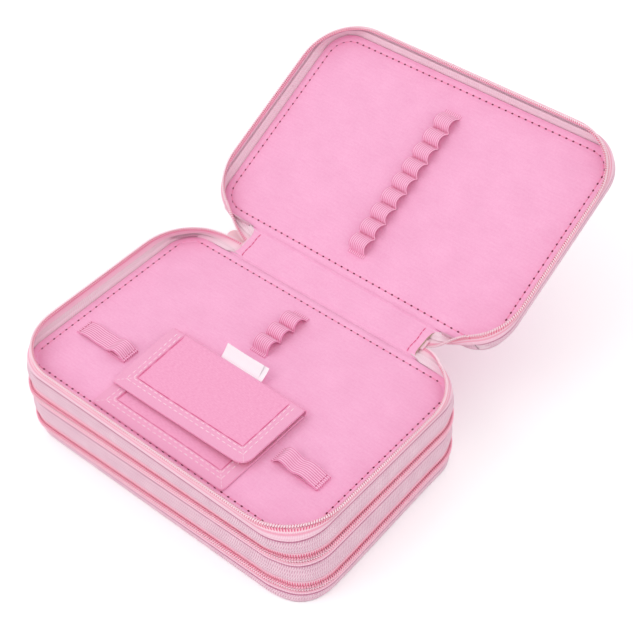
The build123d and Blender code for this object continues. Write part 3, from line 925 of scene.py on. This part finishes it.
for name, face, way, body in (
    ("top_zip_lower", upper_top, 1, "upper_divider"),
    ("top_zip_upper", lid_under, -1, "lid"),
):
    walls = wall_rows(face, way)
    easing = groove_eases if body == "upper_divider" else 0.0
    wall = eased_ring(walls, face, way, easing)
    groove_shade_cord(name, face, way, body, body_stations, easing)
    rows, reaches, edges = half_zip_rows(face, way, True)
    tape = eased_ring(rows, face, way, easing)
    edge = ring_of(edges)
    piece = swept(name + "_tape_cloth", tape[body_stations], tape_finish, body, reaches)
    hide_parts(name + "_tape")
    lines = edge[body_stations]
    piece = coil_piece(name + "_coil_teeth", lines[:, 0], lines[:, 1], body, 0.0 if way > 0 else math.pi)
    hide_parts(name + "_coil")
    wall_depths = [0.3] * 4 + [-0.3] * (len(walls) - 4)
    tape_depths = [0.9] * 9 + [0.4] * (len(rows) - 9)
    for side, end in ((1, "right"), (-1, "left")):
        run = tail(wall, side, body, face, way, wall_depths)
        filled = web(run, side, body, face, way)
        blend_tail(swept(f"{name}_wall_{end}_end", filled, knit_finish, outers=6), body)
        run = tail(tape, side, body, face, way, tape_depths)
        blend_tail(swept(f"{name}_tape_{end}_end", run, tape_finish, over=reaches), body)
        run = tail(edge, side, body, face, way, [1.5, 1.5])
        blend_tail(coil_piece(f"{name}_coil_{end}_end", run[:, 0], run[:, 1]), body)

# The spine strips: three narrow boards between a lining and an outer cover, flared into the
# panels at both folds, with a seam of loose reddish thread across each end.

flare = 5.0
strip_lining = 0.35
strip_board = 0.95
strip_cover = 0.3
seam_x = 57.3
seam_finish = Finish("seam_thread", 0.6)
seam_finish.mottled(1.6, (206, 58, 112), (238, 108, 160), 0.35, 0.65)

# Rows over the strip: share of its width, and how far the cloth stands over its level
strip_rows = (
    (0.0, 0.0), (0.02, -0.2), (0.05, -0.27), (0.09, -0.24), (0.12, 0.02), (0.17, 0.06),
    (0.3, 0.04), (0.5, 0.02), (0.7, 0.04), (0.86, 0.05), (0.93, 0.04), (0.965, -0.12), (1.0, 0.0),
)


def strip_half(share, inset=0.0):
    """Half length of a strip at a share of its width: flared at both folds."""
    near = min(share, 1 - share) * tray_clear
    if near >= flare:
        return spine_half - inset
    return spine_half + flare - math.sqrt(flare**2 - (flare - near) ** 2) - inset


def slab_from(top, drop):
    """Points and faces of a closed slab from a grid of top points and their drop vectors."""
    rows, columns = top.shape[:2]
    points = np.concatenate([top.reshape(-1, 3), (top + drop).reshape(-1, 3)])
    upper = grid_faces(rows, columns)
    lower = [tuple(index + rows * columns for index in face[::-1]) for face in upper]
    border = [*range(columns)]
    border += [row * columns + columns - 1 for row in range(1, rows)]
    border += [(rows - 1) * columns + column for column in range(columns - 2, -1, -1)]
    border += [row * columns for row in range(rows - 2, 0, -1)]
    faces = upper + lower
    for first, last in zip(border, border[1:] + border[:1]):
        faces.append((last, first, first + rows * columns, last + rows * columns))
    return points, faces


def solid_piece(name, built, finish, body, across=(0, 1)):
    """A closed piece laid out shut, with its faces turned outwards, opened with its body."""
    points, faces = built
    piece = new_piece(name, opened(points, body), faces, finish, points[:, list(across)])
    crisp(piece)
    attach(piece, body)
    return piece


def strip_grid(foot, out, inset, relief):
    """A grid over one spine strip, at a distance out from the fold lines."""
    inner = np.concatenate([[-seam_x - 0.6, -seam_x, -seam_x + 0.6], np.linspace(-50, 50, 21)])
    inner = np.concatenate([inner, [seam_x - 0.6, seam_x, seam_x + 0.6]])
    grid = []
    for share, rise in strip_rows:
        half = strip_half(share, inset)
        ends = np.linspace(inner[-1], half, 5)[1:]
        line = np.concatenate([-ends[::-1], inner, ends])
        dips = np.exp(-(((np.abs(line) - seam_x) / 0.5) ** 2)) * 0.05
        height = foot + 0.04 + share * (tray_clear - 0.08)
        drop = relief * (dips - rise) if relief else 0 * line
        grid.append(np.column_stack([line, fold_y + out + drop, np.full(len(line), height)]))
    return np.array(grid)


spines = (
    ("bottom_spine", bottom_top, "bottom_spine"),
    ("middle_spine", lower_top, "middle_spine"),
    ("top_spine", upper_top, "top_spine"),
)
for name, foot, body in spines:
    layers = (
        ("lining", 0.0, strip_lining, 0.2, 1.0, lining_finish, "lining"),
        ("board", strip_lining, strip_board, 0.0, 0.0, board_finish, "stiffener"),
        ("cover", strip_lining + strip_board, strip_cover, 0.3, 0.0, cover_finish, "cover"),
    )
    for layer, out, thick, inset, relief, finish, slot in layers:
        built = slab_from(strip_grid(foot, out, inset, relief), np.array([0, thick, 0]))
        piece = solid_piece(f"{name}_{layer}_strip", built, finish, body, across=(0, 2))
        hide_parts(f"{name}_{layer}")
    for side, end in ((-1, "left"), (1, "right")):
        heights = np.linspace(foot + 1.2, foot + tray_clear - 1.6, 24)
        sway = side * seam_x + 0.38 * np.sin(heights * 1.7) + 0.18 * np.sin(heights * 4.1)
        line = np.column_stack([sway, np.full(24, fold_y - 0.02), heights])
        points, faces = stitches(line, 3.1, (0, -1, 0), gap=0.1, radius=0.27, arch=0.2)
        solid_piece(f"{name}_{end}_seam", (points, faces), seam_finish, body, across=(0, 2))

# Fold welts: a thin roll of the lining pressed into each fold of the hinge, so that no board
# shows between a panel and its strip. They are not seen in the photo, and close gaps seen from behind.

welt_radius = 0.42
welt_out = 0.22
for name, foot, body in spines:
    for fold, level in (("lower", foot), ("upper", foot + tray_clear)):
        across = np.linspace(-spine_half - 3.5, spine_half + 3.5, 40)
        line = np.column_stack([across, np.full(40, fold_y + welt_out), np.full(40, level)])
        points, faces = tube(line, welt_radius, sides=8)
        solid_piece(f"{name}_{fold}_fold_welt", (points, faces), lining_finish, body)

# Back edges: cover cloth turned over the edge of each panel at the hinge, between its two
# linings. The back is not seen in the photo, so these are a guess that hides the boards.

back_edge_half = spine_half + 3.2
back_edge_thickness = 0.5
back_edges = (
    ("bottom", 0.1, bottom_top - 0.4, "bottom_shell"),
    ("lower_divider", lower_under + 0.4, lower_top - 0.4, "lower_divider"),
    ("upper_divider", upper_under + 0.4, upper_top - 0.4, "upper_divider"),
    ("lid", lid_under + 0.4, lid_top - 0.1, "lid"),
)
for name, foot, head, body in back_edges:
    grid = [
        [(x, fold_y - 0.02, height) for x in np.linspace(-back_edge_half, back_edge_half, 40)]
        for height in np.linspace(foot, head, 4)
    ]
    built = slab_from(np.array(grid), np.array([0, -back_edge_thickness, 0]))
    solid_piece(f"{name}_back_edge", built, cover_finish, body, across=(0, 2))

# The zip ends: a stub of tape with its coil behind each end of a spine strip, and a knit gusset
# that fills in behind it on the shut trays. The top zip is open, so it has only a short stub.

stub_length = 6.2
stub_half = 4.0
stub_thickness = 0.6
gusset_from, gusset_to = 59.5, 71.0
gusset_overlap = 1.5


def stub(side, foot, length, half):
    """A short slab of tape that stands behind the strip's end."""
    middle = foot + tray_clear / 2
    grid = []
    for height in np.linspace(middle - half, middle + half, 7):
        line = np.linspace(side * (spine_half - 1.0), side * (spine_half + length), 8)
        lift = 1.7 + 0.25 * np.cos((height - middle) / half * math.pi / 2)
        grid.append(np.column_stack([line, np.full(8, fold_y + lift), np.full(8, height)]))
    return slab_from(np.array(grid), np.array([0, -stub_thickness, 0]))


def gusset(side, foot):
    """A slab of knit from behind the strip's end out to the side bands."""
    grid = []
    for height in np.linspace(foot - gusset_overlap, foot + tray_clear + gusset_overlap, 12):
        run = np.linspace(gusset_from, gusset_to, 8)
        grid.append([(side * x, fold_y - 0.5 - 0.05 * (x - gusset_from), height) for x in run])
    return slab_from(np.array(grid), np.array([0, -stub_thickness, 0]))


for name, foot, body in spines:
    apart = name == "top_spine"
    length, half = (1.6, 3.0) if apart else (stub_length, stub_half)
    middle = foot + tray_clear / 2
    for side, end in ((-1, "left"), (1, "right")):
        if not apart:
            solid_piece(f"{name}_{end}_gusset", gusset(side, foot), knit_finish, body, (0, 2))
        points, faces = stub(side, foot, length, half)
        plain_map = np.column_stack([points[:, 0], np.full(len(points), 5.6)])
        points = opened(points, body)
        tape = new_piece(f"{name}_{end}_zip_end", points, faces, tape_finish, plain_map)
        crisp(tape)
        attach(tape, body)
        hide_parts(name.replace("spine", "zip_ends"))
        if apart:
            continue
        run = np.linspace(side * (spine_half - 1.5), side * (spine_half + stub_length), 9)
        for way, half_name in ((-1, "lower"), (1, "upper")):
            low, high = [
                np.column_stack([run, np.full(9, fold_y + 2.3), np.full(9, middle + way * level)])
                for level in (0.12, 0.12 + 2 * coil_height)
            ]
            coil_piece(f"{name}_{end}_end_coil_{half_name}", low, high, body)

# Elastic loops: ribbed elastic, stitched down across its width between the loops, its ends
# folded under. Nine stand on the lid, three on the divider, and two straps lie at its sides.

elastic_finish = Finish("ribbed_elastic", 0.75, Sheen_Weight=0.2)
pick = elastic_finish.ripple(elastic_finish.along, 0.5)
cord = elastic_finish.ripple(elastic_finish.across, 1.17)
weave = elastic_finish.sum_of("MULTIPLY_ADD", pick, 0.25, cord)
elastic_finish.paint(elastic_finish.ramp(
    weave, (0.1, srgb(226, 118, 168)), (0.55, srgb(246, 168, 204)), (1.1, srgb(254, 196, 221))
))
elastic_finish.emboss(weave, 0.15)

elastic_width = 10.3
elastic_thickness = 0.75
elastic_ribs = 9
loops_x = -1.2


def loop_line(spans, rise, lean, start):
    """Underside of a strip as (run, height): flat ends, with a loop over each span."""
    line = [(start - row_tail, 0.0), (start - row_tail * 0.5, 0.0)]
    place = start
    for span in spans:
        for share in np.linspace(0, 1, 25)[:-1]:
            wide = -0.085 * span * math.sin(2 * math.pi * share)
            hump = math.sin(math.pi * share)
            run = place + span * share + wide * min(rise / 4, 1) + lean * hump**1.6
            line.append((run, rise * hump**1.35))
        place += span
    line += [(place, 0.0), (place + row_tail * 0.5, 0.0), (place + row_tail, 0.0)]
    return np.array(line)


def elastic_strip(name, line, body, place):
    """A ribbed strip swept along its line; place turns (run, across, height) into the case."""
    way = np.gradient(line, axis=0)
    way /= np.linalg.norm(way, axis=1)[:, None]
    out = np.column_stack([-way[:, 1], way[:, 0]])
    across = np.linspace(-elastic_width / 2, elastic_width / 2, elastic_ribs * 4 + 1)
    ridge = 0.09 * np.abs(np.sin(np.linspace(0, elastic_ribs * math.pi, len(across)))) ** 0.7
    over = np.concatenate([across, across[::-1]])
    high = np.concatenate([elastic_thickness - 0.09 + ridge, np.full(len(across), 0.02)])
    high[0] = high[len(across) - 1] = elastic_thickness * 0.7
    high[len(across)] = high[-1] = elastic_thickness * 0.25
    sections = []
    for (run, height), normal in zip(line, out):
        section = np.column_stack([run + normal[0] * high, over, height + normal[1] * high])
        sections.append(place(section))
    # The ribs are shifted by half a rib so that the strip's edges fall on their light phase: a painted
    # highlight along the edges.
    over_map = over + elastic_width / 2 + 0.585
    return swept(name, np.array(sections), elastic_finish, body, over_map)


def on_divider_across(section):
    """A strip that runs back over the upper divider, its width along the hinge."""
    return np.column_stack([loops_x - section[:, 1], section[:, 0], upper_top + section[:, 2]])


def on_lid(section):
    """A strip that runs from the hinge to the lid's free edge, laid out shut."""
    return np.column_stack([loops_x + section[:, 1], fold_y - section[:, 0], lid_under - section[:, 2]])


strap_y = -26.0


def along_divider(section):
    """A strap that runs along the divider's front half, its width across the case."""
    return np.column_stack([section[:, 0], strap_y + section[:, 1], upper_top + section[:, 2]])


def eased(knots):
    """Underside of a slack strap as a smooth line through these (run, height)."""
    run, rise = np.array(knots, float).T
    slope = np.gradient(rise, run)
    at = np.linspace(run[0], run[-1], 80)
    low = np.clip(np.searchsorted(run, at, side="right") - 1, 0, len(run) - 2)
    wide = run[low + 1] - run[low]
    share = (at - run[low]) / wide
    leaving = (share**3 - 2 * share**2 + share) * wide * slope[low]
    arriving = (share**3 - share**2) * wide * slope[low + 1]
    height = (2 * share**3 - 3 * share**2 + 1) * rise[low] + leaving
    height += (3 * share**2 - 2 * share**3) * rise[low + 1] + arriving
    return np.column_stack([at, np.maximum(height, 0.0)])


loop_pitch = 10.15
row_tail = 2.4
rows_of_loops = (
    ("nine_loop_elastic", 9, 5.9, -1.5, 16.4, on_lid, "lid"),
    ("three_loop_elastic", 3, 5.4, -1.0, 18.9, on_divider_across, "upper_divider"),
)
row_stitch_finish = Finish("row_thread", 0.7)
row_stitch_finish.mottled(1.0, (176, 52, 98), (206, 84, 130), 0.35, 0.65)


def sewn_down(name, line, seams, place, body):
    """A strip along its line, replacing its node, with a row of thread at each of its seams."""
    strip = elastic_strip(name + "_strip", line, body, place)
    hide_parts(name)
    parts = []
    for at in seams:
        over = np.linspace(-elastic_width / 2 + 0.4, elastic_width / 2 - 0.4, 9)
        top = np.interp(at, *line.T) + elastic_thickness
        row = np.column_stack([np.full(9, at), over, np.full(9, top)])
        points, faces = stitches(row, 1.9, (0, 0, 1), gap=0.25, radius=0.18, arch=0.16)
        parts.append((place(points), faces))
    solid_piece(name + "_stitches", joined(parts), row_stitch_finish, body)


for name, count, rise, lean, start, place, body in rows_of_loops:
    spans = [loop_pitch] * count
    seams = np.concatenate([[start], start + np.cumsum(spans)])
    sewn_down(name, loop_line(spans, rise, lean, start), seams, place, body)

# The two straps at the divider's sides lie slacker: each is drawn through (run, height) knots,
# and its free end is doubled under.

left_strap = eased((
    (-85.3, 0.0), (-83.9, 0.05), (-81, 0.9), (-76.5, 1.5), (-71.5, 0.9), (-66.5, 1.35), (-62.8, 1.2),
    (-60.6, 2.3), (-57.6, 4.0), (-54.4, 3.3), (-52.2, 1.3), (-51.4, 0.85), (-50.0, 0.8),
))
right_strap = eased((
    (50.8, 0.0), (52.2, 0.1), (53.6, 1.9), (56.0, 3.9), (58.6, 3.7), (61.6, 2.1), (64.4, 1.6), (67.0, 2.6),
    (69.2, 3.2), (72.2, 2.8), (75.6, 1.6), (78.0, 0.9), (79.8, 0.8),
))
sewn_down("left_elastic", left_strap, (-84.0, -51.3), along_divider, "upper_divider")
sewn_down("right_elastic", right_strap, (52.2, 78.1), along_divider, "upper_divider")
for name, low, high in (("left", -62.0, -50.0), ("right", 66.0, 79.8)):
    layer = np.column_stack([np.linspace(low, high, 12), np.zeros(12)])
    elastic_strip(name + "_elastic_under_layer", layer, "upper_divider", along_divider)

# The wallet pocket: fine cloth bound with grosgrain ribbon that is stitched twice and mitred at
# its front corners. Its flap folds over from the back on a soft roll, one front corner lifted.

pocket_finish = Finish("pocket_cloth", 0.55, Sheen_Weight=0.2)
fill_streak = pocket_finish.mottle(0.55, 3.0, stretch=0.3)
warp_streak = pocket_finish.mottle(1.6, 2.0, stretch=3.0)
silk = pocket_finish.sum_of("MULTIPLY_ADD", warp_streak, 0.5, fill_streak)
pocket_finish.paint(pocket_finish.ramp(silk, (0.5, srgb(238, 150, 190)), (1.0, srgb(248, 172, 206))))
pocket_finish.emboss(silk, 0.06)

binding_finish = Finish("grosgrain_ribbon", 0.7, Sheen_Weight=0.2)
rising = binding_finish.sum_of("ADD", binding_finish.along, binding_finish.across)
falling = binding_finish.sum_of("SUBTRACT", binding_finish.along, binding_finish.across)
cord_rib = binding_finish.ripple(rising, 0.7)
fine = binding_finish.ripple(falling, 0.7)
gros = binding_finish.sum_of("MULTIPLY", cord_rib, fine)
binding_finish.paint(binding_finish.ramp(gros, (0.0, srgb(240, 154, 194)), (0.8, srgb(253, 198, 222))))
binding_finish.emboss(gros, 0.08)

ribbon_thread_finish = Finish("ribbon_thread", 0.6)
ribbon_thread_finish.mottled(1.2, (255, 206, 223), (255, 232, 241), 0.35, 0.65)

# The flap's lining, under its cloth, is a deep pink darker than the cloth: painted shade for the gap under
# the flap.
flap_lining_finish = Finish("flap_lining", 0.8)
flap_lining_finish.mottled(2.0, (230, 96, 146), (236, 110, 158))
# A thread along each ribbon's inner edge is painted deep pink: painted shade where the ribbon's edge stands
# over the cloth.
ribbon_edge_finish = Finish("ribbon_edge_shade", 0.8)
ribbon_edge_finish.mottled(1.0, (222, 98, 148), (236, 128, 172))

pocket_x = 1.0
base_half = 44.0
base_front, base_back = -59.2, -1.0
cloth_thickness = 0.5
ribbon_width = 8.4
ribbon_thickness = 0.55
flap_half = 44.6
flap_front, flap_back = -44.0, -1.0
fold_radius = 2.3
flap_level = upper_top + 2.8


def base_height(x, y):
    """Height of the pocket's base: it lies on the lining with faint waves."""
    wave = 0.12 * np.sin(x / 11.0 + 0.6) + 0.1 * np.sin(y / 8.0 + x / 23.0)
    return upper_top + cloth_thickness + 0.2 + wave


def flap_height(x, y):
    """Height of the flap's top: low at the front left, lifted at the front right."""
    ahead = np.clip((flap_back - y) / (flap_back - flap_front), 0, 1)
    right = np.clip((x - pocket_x) / flap_half, -1, 1)
    back = flap_level + fold_radius
    front = upper_top + 3.3 + 1.1 * right + 0.9 * np.clip(right, 0, 1) ** 3
    dip = -0.5 * np.sin(math.pi * ahead) * (1 - right**2)
    wave = 0.12 * np.sin(x / 9.0) * ahead
    return back + (front - back) * ahead**1.3 + dip + wave


def cloth_sheet(height, half, front, back, corner, thickness, columns=33, rows=25, roll=False):
    """A slab of cloth over a height field, its left and right front corners rounded."""
    grid = []
    for y in np.linspace(front, back, rows):
        ends = []
        for turn in corner:
            short = max(turn - (y - front), 0.0)
            ends.append(half - (turn - math.sqrt(max(turn**2 - short**2, 0.0))))
        x = np.linspace(pocket_x - ends[0], pocket_x + ends[1], columns)
        grid.append(np.column_stack([x, np.full(columns, y), height(x, np.full(columns, y))]))
    drops = [np.array([0, 0, -thickness])] * rows
    if roll:
        for turn in np.radians(np.linspace(80, -75, 10)):
            line = grid[rows - 1].copy()
            line[:, 1] = back + fold_radius * math.cos(turn)
            reach = line[:, 2] - flap_level if turn > 0 else fold_radius
            line[:, 2] = flap_level + reach * math.sin(turn)
            grid.append(line)
            drops.append(np.array([0, -thickness * math.cos(turn), -thickness * math.sin(turn)]))
    grid = np.array(grid)
    return slab_from(grid, np.array(drops)[:, None, :])


def ribbon_frame(height, half, front, back, corner, lift, columns=41):
    """Ribbon along the left, front and right edges of a sheet: rows from its inner edge out."""
    steps = 12
    rows = []
    for share in (0.0, 0.03, 0.25, 0.5, 0.75, 0.97, 1.0):
        inset = ribbon_width * (1 - share) - 0.3 * (share > 0.9)
        side = half - inset
        low = front + inset
        left, turn = [max(size - inset, 0.6) for size in corner]
        line = [(side, y) for y in np.linspace(back, low + turn, steps)]
        arc = np.radians(np.linspace(0, -90, 8)[1:])
        line += [(side - turn + turn * math.cos(a), low + turn + turn * math.sin(a)) for a in arc]
        line += [(x, low) for x in np.linspace(side - turn, left - side, columns)[1:]]
        arc = np.radians(np.linspace(-90, -180, 8)[1:])
        line += [(left - side + left * math.cos(a), low + left + left * math.sin(a)) for a in arc]
        line += [(-side, y) for y in np.linspace(low + left, back, steps)[1:]]
        line = np.array(line)
        x = line[:, 0] + pocket_x
        up = lift if 0.0 < share < 1.0 else lift * 0.25
        rows.append(np.column_stack([x, line[:, 1], height(x, line[:, 1]) + up]))
    return slab_from(np.array(rows), np.array([0, 0, -lift * 0.9]))


def dashes(height, half, front, back, inset, lift, pitch, gap=0.55, radius=0.22):
    """One row of ribbon stitching at an inset from the sheet's edge."""
    side, low = half - inset, front + inset
    runs = [
        [(side, y) for y in np.linspace(back - 1.0, low, 30)],
        [(x, low) for x in np.linspace(side, -side, 50)],
        [(-side, y) for y in np.linspace(low, back - 1.0, 30)],
    ]
    parts = []
    for run in runs:
        run = np.array(run)
        x = run[:, 0] + pocket_x
        line = np.column_stack([x, run[:, 1], height(x, run[:, 1]) + lift])
        parts.append(stitches(line, pitch, (0, 0, 1), gap=gap, radius=radius, arch=0.12))
    return joined(parts)


def mitres(height, half, front, lift):
    """The seam across each front corner of a ribbon frame."""
    parts = []
    for side in (-1, 1):
        shares = np.linspace(0.12, 1.0, 8)
        x = pocket_x + side * (half - ribbon_width * shares)
        y = front + ribbon_width * shares
        line = np.column_stack([x, y, height(x, y) + lift])
        parts.append(stitches(line, 2.0, (0, 0, 1), gap=0.15, radius=0.13, arch=0.08))
    return joined(parts)


base = solid_piece(
    "pocket_base_cloth",
    cloth_sheet(base_height, base_half, base_front, base_back, (2.0, 2.0), cloth_thickness),
    pocket_finish, "upper_divider",
)
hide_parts("pocket_base")
ribbon = solid_piece(
    "pocket_base_ribbon",
    ribbon_frame(base_height, base_half + 0.3, base_front - 0.1, base_back, (2.0, 2.0), ribbon_thickness),
    binding_finish, "upper_divider",
)
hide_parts("pocket_base_binding")
flap_cloth = solid_piece(
    "pocket_flap_cloth",
    cloth_sheet(flap_height, flap_half, flap_front, flap_back, (1.0, 5.5), cloth_thickness, roll=True),
    pocket_finish, "flap",
)
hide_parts("pocket_flap")
flap_ribbon = solid_piece(
    "pocket_flap_ribbon",
    ribbon_frame(flap_height, flap_half + 0.3, flap_front - 0.3, flap_back, (1.2, 6.0), ribbon_thickness),
    binding_finish, "flap",
)
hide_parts("pocket_flap_binding")

lining_back = flap_back - 2.0


def flap_underside(x, y):
    """Height of the flap's lining, just under its cloth."""
    return flap_height(x, y) - 0.58


# A lining under the flap, in the deep pink of painted shade.
flap_lining = solid_piece(
    "pocket_flap_lining",
    cloth_sheet(flap_underside, flap_half - 0.3, flap_front + 0.4, lining_back, (1.0, 5.0), 0.2),
    flap_lining_finish, "flap",
)
for label, height, half, front, back, body in (
    ("base", base_height, base_half, base_front, base_back, "upper_divider"),
    ("flap", flap_height, flap_half, flap_front, flap_back, "flap"),
):
    parts = [dashes(height, half, front, back, inset, ribbon_thickness, 3.6) for inset in (4.6, 7.0)]
    parts.append(mitres(height, half, front, ribbon_thickness))
    solid_piece(f"pocket_{label}_stitches", joined(parts), ribbon_thread_finish, body)
    # A deep pink thread along the ribbon's inner edge: painted shade at that edge.
    edge = dashes(height, half, front, back, ribbon_width + 0.12, 0.1, 12.0, gap=0.0, radius=0.24)
    solid_piece(f"pocket_{label}_ribbon_edge_shade", edge, ribbon_edge_finish, body)

# The care label: a short loop of white satin ribbon caught in the pocket's fold, left bare.

label_finish = Finish("label_satin", 0.45)
gloss = label_finish.ripple(label_finish.across, 0.35)
label_finish.paint(label_finish.ramp(gloss, (0.0, srgb(244, 232, 240)), (1.0, srgb(255, 251, 253))))
label_finish.emboss(gloss, 0.03)
label_half = 12.4
label_rise = 7.2
label_root = -1.5


def label_slab(shift, lean, top):
    """One layer of the label, leaning back out of the fold."""
    grid = []
    for share in np.linspace(0, 1, 8):
        run = label_root + (top - label_root) * share
        bend = 0.35 * math.sin(math.pi * share)
        y = run * math.sin(math.radians(lean)) + bend
        z = run * math.cos(math.radians(lean)) - bend * 0.5
        x = np.linspace(-label_half, label_half, 12) + shift
        curl = np.full(12, y + 1.6) + 0.25 * (x / label_half) ** 2
        grid.append(np.column_stack([x + pocket_x + 0.2, curl, np.full(12, z + upper_top + 3.6)]))
    return slab_from(np.array(grid), np.array([0, 0.22, 0.12]))


layers = joined([label_slab(-0.9, 46, label_rise), label_slab(1.9, 56, label_rise - 0.2)])
label = solid_piece("care_label_ribbon", layers, label_finish, "upper_divider", (0, 2))
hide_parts("care_label")

# Sliders and pull tabs: cast sliders finished to match the tape, and soft rubber tabs with a
# round head. The top one lies parked under the left end of the spine strip.

slider_finish = Finish("painted_casting", 0.35)
slider_finish.mottled(1.5, (232, 140, 172), (240, 156, 186))
rubber_finish = Finish("soft_rubber", 0.5, Subsurface_Weight=0.3, Subsurface_Scale=0.003)
rubber_finish.mottled(3.0, (254, 212, 221), (255, 222, 229))
rubber_finish.emboss(rubber_finish.mottle(0.4), 0.02)
for name in ("top", "middle", "bottom"):
    for part, finish in (("slider", slider_finish), ("tab", rubber_finish)):
        node = frame["nodes"][f"{name}_zip_{part}"]
        cover_map(node.data)
        node.data.materials.clear()
        node.data.materials.append(finish.material)

# The setting: a plain white floor that keeps a soft shadow, white all round, two large soft
# lamps, and the camera where the photograph was taken from.

floor_finish = bpy.data.materials.new("floor_white")
floor_finish.use_nodes = True
floor_shader = floor_finish.node_tree.nodes["Principled BSDF"]
floor_shader.inputs["Base Color"].default_value = (0.97, 0.97, 0.97, 1.0)
floor_shader.inputs["Roughness"].default_value = 0.9
floor_shader.inputs["Specular IOR Level"].default_value = 0.1
floor_shader.inputs["Emission Color"].default_value = (1.0, 1.0, 1.0, 1.0)
floor_rays = floor_finish.node_tree.nodes.new("ShaderNodeLightPath")
floor_glow = floor_finish.node_tree.nodes.new("ShaderNodeMath")
floor_glow.operation = "MULTIPLY"
floor_glow.inputs[1].default_value = 0.2
floor_finish.node_tree.links.new(floor_rays.outputs["Is Camera Ray"], floor_glow.inputs[0])
floor_finish.node_tree.links.new(floor_glow.outputs[0], floor_shader.inputs["Emission Strength"])

floor_mesh = bpy.data.meshes.new("floor")
floor_mesh.from_pydata([(-6, -6, 0), (6, -6, 0), (6, 6, 0), (-6, 6, 0)], [], [(0, 1, 2, 3)])
floor_mesh.materials.append(floor_finish)
floor = bpy.data.objects.new("floor", floor_mesh)
floor.location.z = -0.0002
bpy.context.scene.collection.objects.link(floor)

world = bpy.data.worlds.new("white_room")
bpy.context.scene.world = world
world.use_nodes = True
room = world.node_tree
rays = room.nodes.new("ShaderNodeLightPath")
seen = room.nodes.new("ShaderNodeMath")
seen.operation = "MAXIMUM"
room.links.new(rays.outputs["Is Camera Ray"], seen.inputs[0])
room.links.new(rays.outputs["Is Glossy Ray"], seen.inputs[1])
strength = room.nodes.new("ShaderNodeMapRange")
strength.inputs["To Min"].default_value = 0.9
strength.inputs["To Max"].default_value = 1.0
clear = room.nodes.new("ShaderNodeMath")
clear.operation = "MAXIMUM"
room.links.new(seen.outputs[0], clear.inputs[0])
room.links.new(rays.outputs["Is Transmission Ray"], clear.inputs[1])
room.links.new(clear.outputs[0], strength.inputs["Value"])
room.links.new(strength.outputs["Result"], room.nodes["Background"].inputs["Strength"])
room.nodes["Background"].inputs["Color"].default_value = (1.0, 1.0, 1.0, 1.0)


def soft_lamp(name, place, size, power):
    """A square lamp, in metres and watts, turned towards the case."""
    lamp = bpy.data.lights.new(name, "AREA")
    lamp.energy = power
    lamp.size = size
    thing = bpy.data.objects.new(name, lamp)
    thing.location = place
    thing.rotation_euler = (Vector((0, 0, 0.05)) - Vector(place)).to_track_quat("-Z", "Y").to_euler()
    bpy.context.scene.collection.objects.link(thing)


soft_lamp("key_lamp", (-0.6, -1.1, 1.4), 1.2, 6)
soft_lamp("fill_lamp", (1.4, -0.2, 1.5), 1.5, 2.5)

camera_place = (354.3, -324.5, 573.9)
camera_turn = (44.363, 1.957, 40.524)
camera = bpy.data.objects.new("camera", bpy.data.cameras.new("camera"))
camera.data.sensor_width = 36.0
camera.data.lens = 79.85
camera.location = Vector(camera_place) * METRES
camera.rotation_euler = Euler([math.radians(turn) for turn in camera_turn])
bpy.context.scene.collection.objects.link(camera)
bpy.context.scene.camera = camera
bpy.context.scene.view_settings.view_transform = "Standard"
